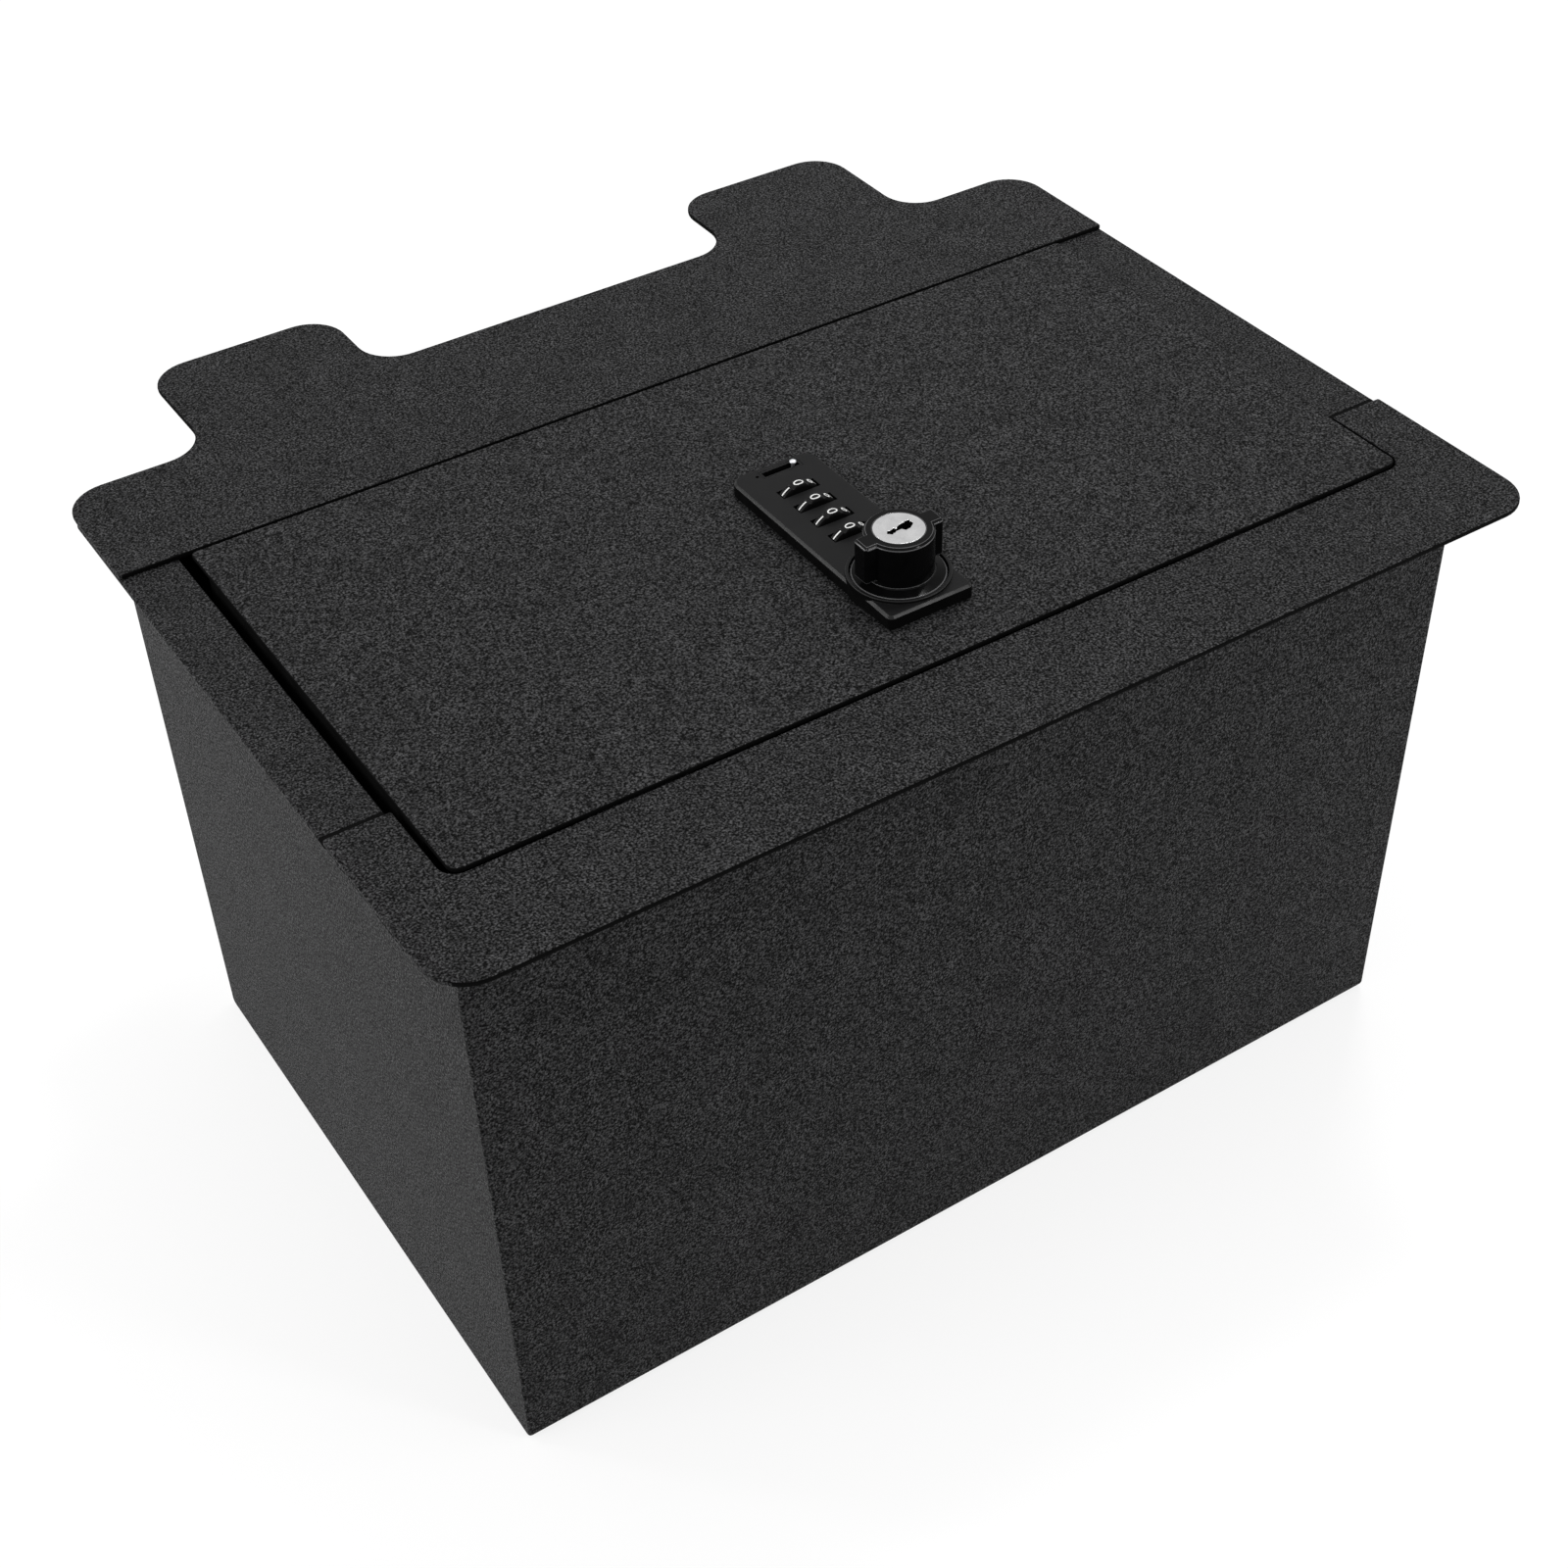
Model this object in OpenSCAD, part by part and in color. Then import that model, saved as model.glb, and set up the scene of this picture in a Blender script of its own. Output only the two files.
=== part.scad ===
// Drop-in steel console box with a hinged lid and a four-wheel combination cam lock.
//
// Millimetres. The origin is on the floor under the middle of the whole outline, +Z is up and
// the front of the box faces -Y. The lid is closed and the latch cam lies along the lid, so the
// lid is free to swing up about the concealed hinge at its rear edge.

/* [Top flange] */
// Overall width across the front and rear plates
flange_w = 328; // [310:1:400]
// Depth of the front plate, with its arms beside the lid
front_plate_d = 61.5; // [50:0.5:80]
// Distance from the front plate's arms to the rear plate
bay_d = 125; // [105:1:160]
// Depth of the rear plate at its outer ends
rear_end_d = 44; // [38:1:60]
// Depth of the rear plate between its two tabs
rear_mid_d = 57; // [45:1:70]
// Depth of the rear plate at its two tabs
rear_tab_d = 91.5; // [75:0.5:120]
// Width of each tab
tab_w = 58.5; // [40:0.5:70]
// Distance from the side of the rear plate to a tab
tab_inset = 44; // [30:1:55]
// Corner radius of the plates and of the notches beside the tabs
corner_r = 12; // [6:1:14]
// Width of the side flanges that run beside the lid
side_flange_w = 16.7; // [14:0.1:17.4]

/* [Box] */
// Height from the floor to the top of the plates
box_h = 196; // [120:1:260]
// Thickness of the steel sheet
sheet_t = 1.5; // [1.2:0.1:2]
// How far the flange stands out from each side wall
side_overhang = 10.7; // [8:0.1:12]
// How far the front plate stands out from the front wall
front_overhang = 19.2; // [12:0.1:20]
// How far the rear plate's ends stand out from the rear wall
rear_overhang = 9; // [4:0.5:12]
// Inside radius of the folds along the floor
fold_r = 1; // [0.5:0.1:2]
// Diameter of the four anchor holes in the floor
anchor_d = 8.5; // [5:0.1:12]
// Distance between anchor holes, across the box
anchor_x = 200; // [120:1:240]
// Distance between anchor holes, front to rear
anchor_y = 120; // [60:1:150]

/* [Lid] */
// Width of the front plate's arm on each side of the lid
arm_w = 17.7; // [17:0.1:24]
// Depth of the front plate in front of the lid
front_rail_d = 33.3; // [30:0.1:36]
// Gap beside the lid
lid_gap_side = 1.5; // [0.8:0.1:2.5]
// Gap in front of the lid
lid_gap_front = 0.4; // [0.4:0.1:1]
// Gap behind the lid
lid_gap_rear = 2.3; // [2:0.1:3]
// Height of the lid's top above the plates
lid_raise = 1; // [0.5:0.1:2]
// Depth of the stiffening folds under the lid's sides
lid_fold_d = 8; // [4:0.5:12]
// Corner radius at the front of the lid
lid_front_r = 3; // [1:0.5:6]
// Corner radius at the rear of the lid
lid_rear_r = 1.5; // [0.5:0.5:3]

/* [Hinge] */
// Length of the continuous hinge
hinge_len = 270; // [180:15:270]
// Length of one knuckle with its gap
knuckle_pitch = 15; // [10:1:20]
// Radius of the hinge pin
pin_r = 1; // [0.8:0.05:1.1]
// Thickness of the hinge leaves
leaf_t = 1.2; // [1:0.1:1.2]
// Distance from the lid's rear edge forward to the pin
hinge_back = 3; // [2.8:0.1:3]

/* [Lock] */
// Width of the escutcheon
lock_w = 26.2; // [24:0.1:30]
// Length of the escutcheon
lock_l = 76.2; // [75:0.1:90]
// Thickness of the escutcheon
lock_t = 4; // [3.6:0.1:5]
// Sideways offset of the lock from the middle of the lid
lock_x = 0.4; // [-5:0.1:5]
// Distance from the front edge of the flange to the escutcheon
lock_front = 50.2; // [46:0.1:55]
// Distance from the escutcheon's front edge to the knob's axis
knob_in = 14.9; // [14.3:0.1:16]
// Radius of the round boss that carries the knob
boss_r = 13.8; // [13.5:0.1:15]
// Height of the knob above the lid
knob_h = 17.8; // [14:0.1:22]
// Radius of the knob's barrel
barrel_r = 9.3; // [8.5:0.1:10.5]
// Distance across the tips of the knob's two wings
wing_span = 24.3; // [22:0.1:24.5]
// Thickness of the wings
wing_w = 5.9; // [4:0.1:8]
// Radius of the key plug's face
plug_r = 6.8; // [6.5:0.1:7.5]
// Number of number wheels
wheel_count = 4; // [4]
// Distance between number wheels
wheel_pitch = 8.17; // [8:0.01:8.2]
// Radius of a number wheel
wheel_r = 7.1; // [6.5:0.1:7.3]
// Width of a number wheel's rim
wheel_w = 3.3; // [2.7:0.1:3.5]
// Height of a number wheel's top above the escutcheon
wheel_proud = 2; // [1.6:0.1:2.4]
// Length of the latch cam from the spindle to its tip
cam_l = 38; // [36:0.5:40]
// Thickness of the latch cam
cam_t = 2.5; // [2:0.1:3]

/* [Clearances] */
// Gap between pieces that move past each other
move_gap = 0.3; // [0.3:0.05:0.5]
// Radial clearance of a shaft in its bore
shaft_gap = 0.05; // [0.03:0.01:0.1]

/* [Hidden] */
$fn = 64;

// Small overlap that lets a cutter break cleanly through a face
cut = 0.5;

// Overall depth, and the front edge of the flange in the model's own frame
rear_plate_y = front_plate_d + bay_d;
overall_d = rear_plate_y + rear_tab_d;
front_y = -overall_d / 2;

// Box walls
box_half_w = flange_w / 2 - side_overhang;
wall_front = front_y + front_overhang;
wall_rear = front_y + rear_plate_y + rear_end_d - rear_overhang;
plate_z = box_h - sheet_t;
side_flange_z = plate_z - sheet_t;
side_flange_front = wall_front + sheet_t;
side_flange_rear = front_y + rear_plate_y + rear_end_d - corner_r - cut;

// Lid
lid_top = box_h + lid_raise;
lid_under = lid_top - sheet_t;
lid_half_w = flange_w / 2 - arm_w - lid_gap_side;
lid_front = front_y + front_rail_d + lid_gap_front;
lid_rear = front_y + rear_plate_y - lid_gap_rear;
bay_inner_r = 5;
lid_fold_front = 14;
lid_fold_rear = 12;

// Hinge: the lid's knuckles touch the lid, and the fixed ones stay clear under it
knuckle_r = 2.1;
fixed_knuckle_r = knuckle_r - move_gap;
hinge_y = lid_rear - hinge_back;
hinge_z = lid_under - knuckle_r;
knuckles = floor(hinge_len / knuckle_pitch);
lid_leaf_d = 18;
leaf_back = knuckle_r + 0.2;
fixed_leaf_h = 13;
rail_drop = 6.5;
rail_lip_d = 8.5;
rail_reach = 18;
rivet_r = 1.6;
rivet_head_r = 3;
rivet_head_t = 1;
rivet_count = 9;
fixed_leaf_y = hinge_y - fixed_knuckle_r;
rail_lip_y = fixed_leaf_y + leaf_t;
rail_web_y = front_y + rear_plate_y;
rail_floor_z = plate_z - sheet_t - rail_drop;

// Lid stops under the front plate
stop_x = 95;
stop_w = 30;
stop_reach = 11;
bumper_r = 4;
bumper_t = lid_under - plate_z - move_gap;

// Escutcheon
lock_y = front_y + lock_front;
lock_top = lid_top + lock_t;
bevel = 0.7;
near_r = 1.5;
far_r = 4;
boss_rise = 1;
well_r = boss_r - 0.9;
well_floor = lid_top + 2;
stem_r = 6;

// Knob
knob_y = lock_y + knob_in;
knob_top = lid_top + knob_h;
skirt_r = well_r - move_gap;
skirt_z = well_floor + move_gap;
skirt_top = lock_top + boss_rise - 0.4;
skirt_slope = 0.8;
wing_z = skirt_top + skirt_slope + 0.9;
knob_bevel = 0.5;
plug_head_t = 1.6;
plug_body_r = 5.4;
plug_l = 11;
socket = 5.1;
socket_h = 5;
stem_foot = lid_top - 3;

// Number wheels, counted from the rear
wheel_z = lock_top + wheel_proud - wheel_r;
first_wheel_in = 61.6;
hub_r = 2.1;
axle_r = 1.25;
digits = 10;
notch_r = 0.6;
notch_depth = 0.35;
band_w = 2.3;
shoulder_d = 1;
window_end = 0.5;
window_half_l = sqrt(pow(wheel_r + move_gap, 2) - pow(wheel_r - wheel_proud, 2)) + window_end;
bank_rear = lock_y + first_wheel_in + wheel_pitch / 2;
bank_front = bank_rear - wheel_count * wheel_pitch;
pocket_gap = 0.1;
pocket_half_w = wheel_r + 0.4;
pocket_roof = wheel_z + hub_r + move_gap;
pocket_floor = wheel_z - wheel_r - 1.5;
axle_seat = 0.9;

// Housing that hangs under the lid
housing_half_w = 9.5;
housing_end_gap = 2;
ear_half_w = 12.5;
ear_t = 2;
housing_foot = lid_top - 13;
chamber_floor = housing_foot + 6.5;
housing_front = lock_y + housing_end_gap;
housing_rear = lock_y + lock_l - 1;
cutout_gap = 0.3;

// Screw posts and screws that clamp the housing to the escutcheon
post_r = 1.8;
post_l = 9;
post_front_in = 4.4;
post_rear_y = bank_rear + 3.2;
screw_r = 1;
screw_head_r = 1.9;
screw_head_t = 1.5;
post_ys = [lock_y + post_front_in, post_rear_y];

// Code-change slider behind the wheels
slot_y = bank_rear + 6.9;
slot_left = -4.3;
slot_right = 6.8;
slot_w = 1.6;
slider_x = 5.4;
slider_travel = 8.4;
slider_pin_r = 0.5;
slider_head_r = 0.95;
slider_head_t = 0.5;
slider_l = 4;
slider_w = 2;
slider_t = 1.2;
reset_hole_x = -6.1;
reset_hole_r = 0.5;

// Spindle, cam and its fixings
spindle_r = 4;
collar_r = 5.5;
collar_t = 2.5;
square_w = 5;
cam_z = housing_foot - 0.5 - cam_t;
cam_root_r = 6.5;
cam_tip_r = 5.5;
washer_t = 0.8;
washer_r = 5;
cam_screw_r = 1.5;
cam_screw_l = 6;
cam_screw_head_r = 3.2;
cam_screw_head_t = 2;
square_foot = cam_z;

// Strike bracket under the front plate
strike_w = 40;
strike_t = 2;
strike_rear = lid_front - lid_gap_front - move_gap;
strike_foot = cam_z + cam_t + 0.5;

steel_black = [0.13, 0.13, 0.135];
lock_black = [0.06, 0.06, 0.065];
zinc = [0.72, 0.73, 0.75];
wheel_black = [0.04, 0.04, 0.045];
rubber_black = [0.05, 0.05, 0.05];

// ---- shared shapes -----------------------------------------------------------------------

// Waste outside a rounded corner at the origin, for a piece that fills the +X +Y quarter
module corner_waste(r) {
    difference() {
        translate([-cut, -cut]) square(r + cut);
        translate([r, r]) circle(r);
    }
}

// Fillet that fills a notch corner at the origin, in the free +X +Y quarter
module notch_fillet(r) {
    difference() {
        square(r);
        translate([r, r]) circle(r);
    }
}

// Box given by its two corners
module block(low, high) {
    translate(low) cube(high - low);
}

// Copy of a shape and its mirror image across the middle of the box
module both_sides() {
    children();
    mirror([1, 0, 0]) children();
}

// Half of a bevelled plate: w wide, running from y = 0 to a rounded end at y = l
module bevelled_half(w, l, t, r, c) {
    side_x = w / 2 - r;
    translate([-w / 2, 0, 0]) cube([w, l - r, t - c]);
    translate([-side_x, 0, 0]) cube([2 * side_x, l, t - c]);
    translate([0, l - r, t - c]) rotate([90, 0, 0]) linear_extrude(l - r)
        polygon([[-w / 2, 0], [w / 2, 0], [w / 2 - c, c], [-w / 2 + c, c]]);
    translate([-side_x, 0, t - c]) rotate([90, 0, 90]) linear_extrude(2 * side_x)
        polygon([[0, 0], [l, 0], [l - c, c], [0, c]]);
    for (side = [-1, 1]) {
        translate([side * side_x, l - r, 0]) cylinder(r = r, h = t - c);
        translate([side * side_x, l - r, t - c]) cylinder(r1 = r, r2 = r - c, h = c);
    }
}

// ---- box ---------------------------------------------------------------------------------

// Profile of the folded sheet that makes the front wall, the floor and the rear wall
module wrap_profile() {
    outer_r = fold_r + sheet_t;
    difference() {
        translate([wall_front, 0]) square([wall_rear - wall_front, plate_z]);
        translate([wall_front, 0]) corner_waste(outer_r);
        translate([wall_rear, 0]) mirror([1, 0]) corner_waste(outer_r);
        difference() {
            translate([wall_front + sheet_t, sheet_t])
                square([wall_rear - wall_front - 2 * sheet_t, plate_z]);
            translate([wall_front + sheet_t, sheet_t]) notch_fillet(fold_r);
            translate([wall_rear - sheet_t, sheet_t]) mirror([1, 0]) notch_fillet(fold_r);
        }
    }
}

module box_wrap() {
    wrap_half_w = box_half_w - sheet_t;
    color(steel_black)
    difference() {
        translate([-wrap_half_w, 0, 0]) rotate([90, 0, 90])
            linear_extrude(2 * wrap_half_w) wrap_profile();
        for (x = [-anchor_x / 2, anchor_x / 2], y = [-anchor_y / 2, anchor_y / 2])
            translate([x, (wall_front + wall_rear) / 2 + y, -cut])
                cylinder(d = anchor_d, h = sheet_t + 2 * cut);
    }
}

// Side panel that closes one end of the folded sheet
module side_panel() {
    outer_r = fold_r + sheet_t;
    depth = wall_rear - wall_front;
    translate([box_half_w - sheet_t, 0, 0]) rotate([90, 0, 90]) linear_extrude(sheet_t)
        difference() {
            translate([wall_front, 0]) square([depth, side_flange_z]);
            translate([wall_front, 0]) corner_waste(outer_r);
            translate([wall_rear, 0]) mirror([1, 0]) corner_waste(outer_r);
        }
}

module left_side() {
    color(steel_black) mirror([1, 0, 0]) side_panel();
}

module right_side() {
    color(steel_black) side_panel();
}

// Flat bar on the top edge of a side wall, one sheet below the plates
module side_flange() {
    block([flange_w / 2 - side_flange_w, side_flange_front, side_flange_z],
          [flange_w / 2, side_flange_rear, plate_z]);
}

module left_flange() {
    color(steel_black) mirror([1, 0, 0]) side_flange();
}

module right_flange() {
    color(steel_black) side_flange();
}

module front_plate() {
    bay_half_w = flange_w / 2 - arm_w;
    color(steel_black) translate([0, front_y, plate_z]) linear_extrude(sheet_t)
    difference() {
        translate([-flange_w / 2, 0]) square([flange_w, front_plate_d]);
        translate([-flange_w / 2, 0]) corner_waste(corner_r);
        translate([flange_w / 2, 0]) mirror([1, 0]) corner_waste(corner_r);
        difference() {
            translate([-bay_half_w, front_rail_d]) square([2 * bay_half_w, front_plate_d]);
            translate([-bay_half_w, front_rail_d]) notch_fillet(bay_inner_r);
            translate([bay_half_w, front_rail_d]) mirror([1, 0]) notch_fillet(bay_inner_r);
        }
    }
}

// Right half of the rear plate's outline, from its front edge back
module rear_plate_half() {
    tab_outer = flange_w / 2 - tab_inset;
    tab_inner = tab_outer - tab_w;
    difference() {
        square([flange_w / 2, rear_end_d]);
        translate([flange_w / 2, rear_end_d]) rotate(180) corner_waste(corner_r);
    }
    square([tab_outer, rear_mid_d]);
    difference() {
        translate([tab_inner, 0]) square([tab_w, rear_tab_d]);
        translate([tab_inner, rear_tab_d]) mirror([0, 1]) corner_waste(corner_r);
        translate([tab_outer, rear_tab_d]) rotate(180) corner_waste(corner_r);
    }
    translate([tab_outer, rear_end_d]) notch_fillet(corner_r);
    translate([tab_inner, rear_mid_d]) mirror([1, 0]) notch_fillet(corner_r);
}

module rear_plate() {
    color(steel_black) translate([0, front_y + rear_plate_y, plate_z]) linear_extrude(sheet_t) {
        rear_plate_half();
        mirror([1, 0]) rear_plate_half();
    }
}

// Formed rail that carries the hinge under the rear plate
module hinge_rail() {
    color(steel_black) difference() {
        translate([-hinge_len / 2, 0, 0]) rotate([90, 0, 90]) linear_extrude(hinge_len) {
            translate([rail_web_y, plate_z - sheet_t]) square([rail_reach, sheet_t]);
            translate([rail_web_y, rail_floor_z - sheet_t])
                square([sheet_t, plate_z - rail_floor_z + sheet_t]);
            translate([rail_lip_y, rail_floor_z - sheet_t])
                square([rail_web_y + sheet_t - rail_lip_y, sheet_t]);
            translate([rail_lip_y, rail_floor_z - sheet_t - rail_lip_d])
                square([sheet_t, rail_lip_d + sheet_t]);
        }
        rivet_row(rivet_r + shaft_gap, rail_lip_y - cut, sheet_t + 2 * cut);
    }
}

// Row of round bars through the hinge leaf and the rail's lip
module rivet_row(r, y, l) {
    pitch = hinge_len / rivet_count;
    for (i = [0 : rivet_count - 1])
        translate([-hinge_len / 2 + (i + 0.5) * pitch, y, rail_floor_z - sheet_t - rail_lip_d / 2])
            rotate([-90, 0, 0]) cylinder(r = r, h = l);
}

// Knuckles along the pin: every second one, starting with the first or the second
module knuckle_row(r, first) {
    for (i = [first : 2 : knuckles - 1])
        translate([-hinge_len / 2 + i * knuckle_pitch + move_gap / 2, hinge_y, hinge_z])
            rotate([0, 90, 0]) cylinder(r = r, h = knuckle_pitch - move_gap);
}

// Tongues that join a leaf to its knuckles
module tongue_row(first, low, high) {
    for (i = [first : 2 : knuckles - 1])
        translate([-hinge_len / 2 + i * knuckle_pitch + move_gap / 2, 0, 0])
            block([0, low[0], low[1]], [knuckle_pitch - move_gap, high[0], high[1]]);
}

module pin_bore() {
    translate([-hinge_len / 2 - cut, hinge_y, hinge_z]) rotate([0, 90, 0])
        cylinder(r = pin_r + shaft_gap, h = hinge_len + 2 * cut);
}

module hinge_fixed_leaf() {
    leaf_top = hinge_z - knuckle_r - move_gap;
    leaf_foot = rail_floor_z - sheet_t - rail_lip_d;
    color(zinc) difference() {
        union() {
            block([-hinge_len / 2, fixed_leaf_y, leaf_foot],
                  [hinge_len / 2, fixed_leaf_y + leaf_t, leaf_top]);
            tongue_row(0, [fixed_leaf_y, leaf_top - cut], [fixed_leaf_y + leaf_t, hinge_z]);
            knuckle_row(fixed_knuckle_r, 0);
        }
        pin_bore();
        rivet_row(rivet_r + shaft_gap, fixed_leaf_y - cut, leaf_t + 2 * cut);
    }
}

module hinge_pin() {
    color(zinc) translate([-hinge_len / 2, hinge_y, hinge_z]) rotate([0, 90, 0])
        cylinder(r = pin_r, h = hinge_len);
}

module hinge_rivets() {
    color(zinc) {
        rivet_row(rivet_r, fixed_leaf_y, leaf_t + sheet_t);
        rivet_row(rivet_head_r, fixed_leaf_y - rivet_head_t, rivet_head_t);
        rivet_row(rivet_head_r, rail_lip_y + sheet_t, rivet_head_t);
    }
}

// Channel that the latch cam turns under
module strike_bracket() {
    wall_inner = wall_front + sheet_t;
    depth = strike_rear - wall_inner;
    color(steel_black) translate([lock_x - strike_w / 2, 0, 0]) rotate([90, 0, 90])
        linear_extrude(strike_w) difference() {
            translate([wall_inner, strike_foot]) square([depth, plate_z - strike_foot]);
            translate([wall_inner - cut, strike_foot + strike_t])
                square([depth - strike_t + cut, plate_z - strike_foot - 2 * strike_t]);
        }
}

module lid_stops() {
    color(steel_black) both_sides()
        block([stop_x - stop_w / 2, wall_front + sheet_t, plate_z - sheet_t],
              [stop_x + stop_w / 2, lid_front + stop_reach, plate_z]);
}

module stop_bumpers() {
    color(rubber_black) both_sides()
        translate([stop_x, lid_front + stop_reach - bumper_r - 1, plate_z])
            cylinder(r = bumper_r, h = bumper_t);
}

// ---- lid ---------------------------------------------------------------------------------

module lid_outline() {
    difference() {
        translate([-lid_half_w, lid_front]) square([2 * lid_half_w, lid_rear - lid_front]);
        translate([-lid_half_w, lid_front]) corner_waste(lid_front_r);
        translate([lid_half_w, lid_front]) mirror([1, 0]) corner_waste(lid_front_r);
        translate([-lid_half_w, lid_rear]) mirror([0, 1]) corner_waste(lid_rear_r);
        translate([lid_half_w, lid_rear]) rotate(180) corner_waste(lid_rear_r);
        translate([lock_x - housing_half_w - cutout_gap, housing_front - cutout_gap])
            square([2 * (housing_half_w + cutout_gap),
                    housing_rear - housing_front + 2 * cutout_gap]);
    }
}

module lid_panel() {
    color(steel_black) {
        translate([0, 0, lid_under]) linear_extrude(sheet_t) lid_outline();
        both_sides()
            block([lid_half_w - sheet_t, lid_front + lid_fold_front, lid_under - lid_fold_d],
                  [lid_half_w, lid_rear - lid_fold_rear, lid_under]);
    }
}

module lid_hinge_leaf() {
    color(zinc) difference() {
        union() {
            block([-hinge_len / 2, hinge_y - lid_leaf_d, lid_under - leaf_t],
                  [hinge_len / 2, hinge_y - leaf_back, lid_under]);
            tongue_row(1, [hinge_y - leaf_back - cut, lid_under - leaf_t], [hinge_y, lid_under]);
            knuckle_row(knuckle_r, 1);
        }
        pin_bore();
    }
}

// ---- lock --------------------------------------------------------------------------------

// Centre of a number wheel along the lock, the first at the rear
function wheel_y(i) = lock_y + first_wheel_in - i * wheel_pitch;

// Groove for the wheel axle, which drops into the housing and is held down by the escutcheon
module axle_groove() {
    translate([lock_x, bank_front - axle_seat, wheel_z]) rotate([-90, 0, 0])
        cylinder(r = axle_r + shaft_gap, h = bank_rear - bank_front + 2 * axle_seat);
}

// Space the bank of wheels turns in, between two heights
module wheel_pocket(low, high) {
    block([lock_x - pocket_half_w, bank_front - pocket_gap, low],
          [lock_x + pocket_half_w, bank_rear + pocket_gap, high]);
}

module lock_escutcheon() {
    mid = lock_l / 2;
    color(lock_black) difference() {
        union() {
            translate([lock_x, lock_y + mid, lid_top]) {
                bevelled_half(lock_w, lock_l - mid, lock_t, far_r, bevel);
                mirror([0, 1, 0]) bevelled_half(lock_w, mid, lock_t, near_r, bevel);
            }
            translate([lock_x, knob_y, lid_top]) cylinder(r = boss_r, h = lock_t + boss_rise);
            for (y = post_ys)
                translate([lock_x, y, lid_top - post_l]) cylinder(r = post_r, h = post_l + cut);
        }
        translate([lock_x, knob_y, well_floor]) cylinder(r = well_r, h = lock_t);
        translate([lock_x, knob_y, lid_top - cut]) cylinder(r = stem_r + shaft_gap, h = lock_t);
        wheel_pocket(lid_top - cut, pocket_roof);
        axle_groove();
        for (i = [0 : wheel_count - 1])
            translate([lock_x, wheel_y(i) - wheel_w / 2 - move_gap, wheel_z]) rotate([-90, 0, 0])
                cylinder(r = wheel_r + move_gap, h = wheel_w + 2 * move_gap);
        for (i = [0 : wheel_count - 1])
            translate([lock_x, wheel_y(i), 0])
                block([-window_half_l, -wheel_w / 2 - move_gap, pocket_roof - cut],
                      [window_half_l, wheel_w / 2 + move_gap, lock_top + cut]);
        block([lock_x + slot_left, slot_y - slot_w / 2, lid_top - cut],
              [lock_x + slot_right, slot_y + slot_w / 2, lock_top + cut]);
        translate([lock_x + reset_hole_x, slot_y, lock_top - 1.2])
            cylinder(r = reset_hole_r, h = 2);
        for (y = post_ys)
            translate([lock_x, y, lid_top - post_l - cut])
                cylinder(r = screw_r + shaft_gap, h = post_l - 1);
    }
}

module lock_housing() {
    recess_z = lid_top - slider_t - 2 * move_gap;
    slider_gap = slider_l / 2 + move_gap;
    color(lock_black) difference() {
        union() {
            block([lock_x - housing_half_w, housing_front, housing_foot],
                  [lock_x + housing_half_w, housing_rear, lid_top]);
            block([lock_x - ear_half_w, housing_front, lid_under - ear_t],
                  [lock_x + ear_half_w, housing_rear, lid_under]);
        }
        wheel_pocket(pocket_floor, lid_top + cut);
        axle_groove();
        block([lock_x - axle_r - shaft_gap, bank_front - axle_seat, wheel_z],
              [lock_x + axle_r + shaft_gap, bank_rear + axle_seat, lid_top + cut]);
        translate([lock_x, knob_y, housing_foot - cut])
            cylinder(r = spindle_r + shaft_gap, h = lid_top - housing_foot);
        translate([lock_x, knob_y, chamber_floor])
            cylinder(r = stem_r + move_gap, h = lid_top - chamber_floor + cut);
        block([lock_x + slider_x - slider_travel - slider_gap,
               slot_y - slider_w / 2 - move_gap, recess_z],
              [lock_x + slider_x + slider_gap, slot_y + slider_w / 2 + move_gap, lid_top + cut]);
        for (y = post_ys) translate([lock_x, y, 0]) {
            translate([0, 0, lid_top - post_l - 0.4])
                cylinder(r = post_r + 0.2, h = post_l + 1);
            translate([0, 0, housing_foot - cut]) cylinder(r = screw_r + 0.1, h = post_l);
            translate([0, 0, housing_foot - cut])
                cylinder(r = screw_head_r + 0.2, h = screw_head_t + cut);
        }
    }
}

module wheel_axle() {
    color(zinc) translate([lock_x, bank_front - axle_seat, wheel_z]) rotate([-90, 0, 0])
        cylinder(r = axle_r, h = bank_rear - bank_front + 2 * axle_seat);
}

// Leaf spring with one finger under each wheel
module detent_spring() {
    leaf = 0.4;
    finger_w = 2.4;
    edge = pocket_half_w - 0.2;
    ridge_r = wheel_z - wheel_r - move_gap - pocket_floor - leaf / 2;
    color(zinc) {
        block([lock_x - edge, bank_front + 1, pocket_floor],
              [lock_x - edge + 2, bank_rear - 1, pocket_floor + leaf]);
        for (i = [0 : wheel_count - 1])
            translate([lock_x, wheel_y(i), pocket_floor]) {
                block([-edge, -finger_w / 2, 0], [edge - 1, finger_w / 2, leaf]);
                intersection() {
                    translate([0, -finger_w / 2, leaf / 2]) rotate([-90, 0, 0])
                        cylinder(r = ridge_r, h = finger_w);
                    block([-edge, -finger_w / 2, 0], [edge, finger_w / 2, wheel_r]);
                }
            }
    }
}

module lock_screws() {
    shank_l = 7;
    color(zinc) for (y = post_ys) translate([lock_x, y, housing_foot]) {
        cylinder(r = screw_r, h = screw_head_t + shank_l);
        difference() {
            cylinder(r = screw_head_r, h = screw_head_t);
            block([-screw_head_r, -0.25, -cut], [screw_head_r, 0.25, 0.6]);
        }
    }
}

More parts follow.
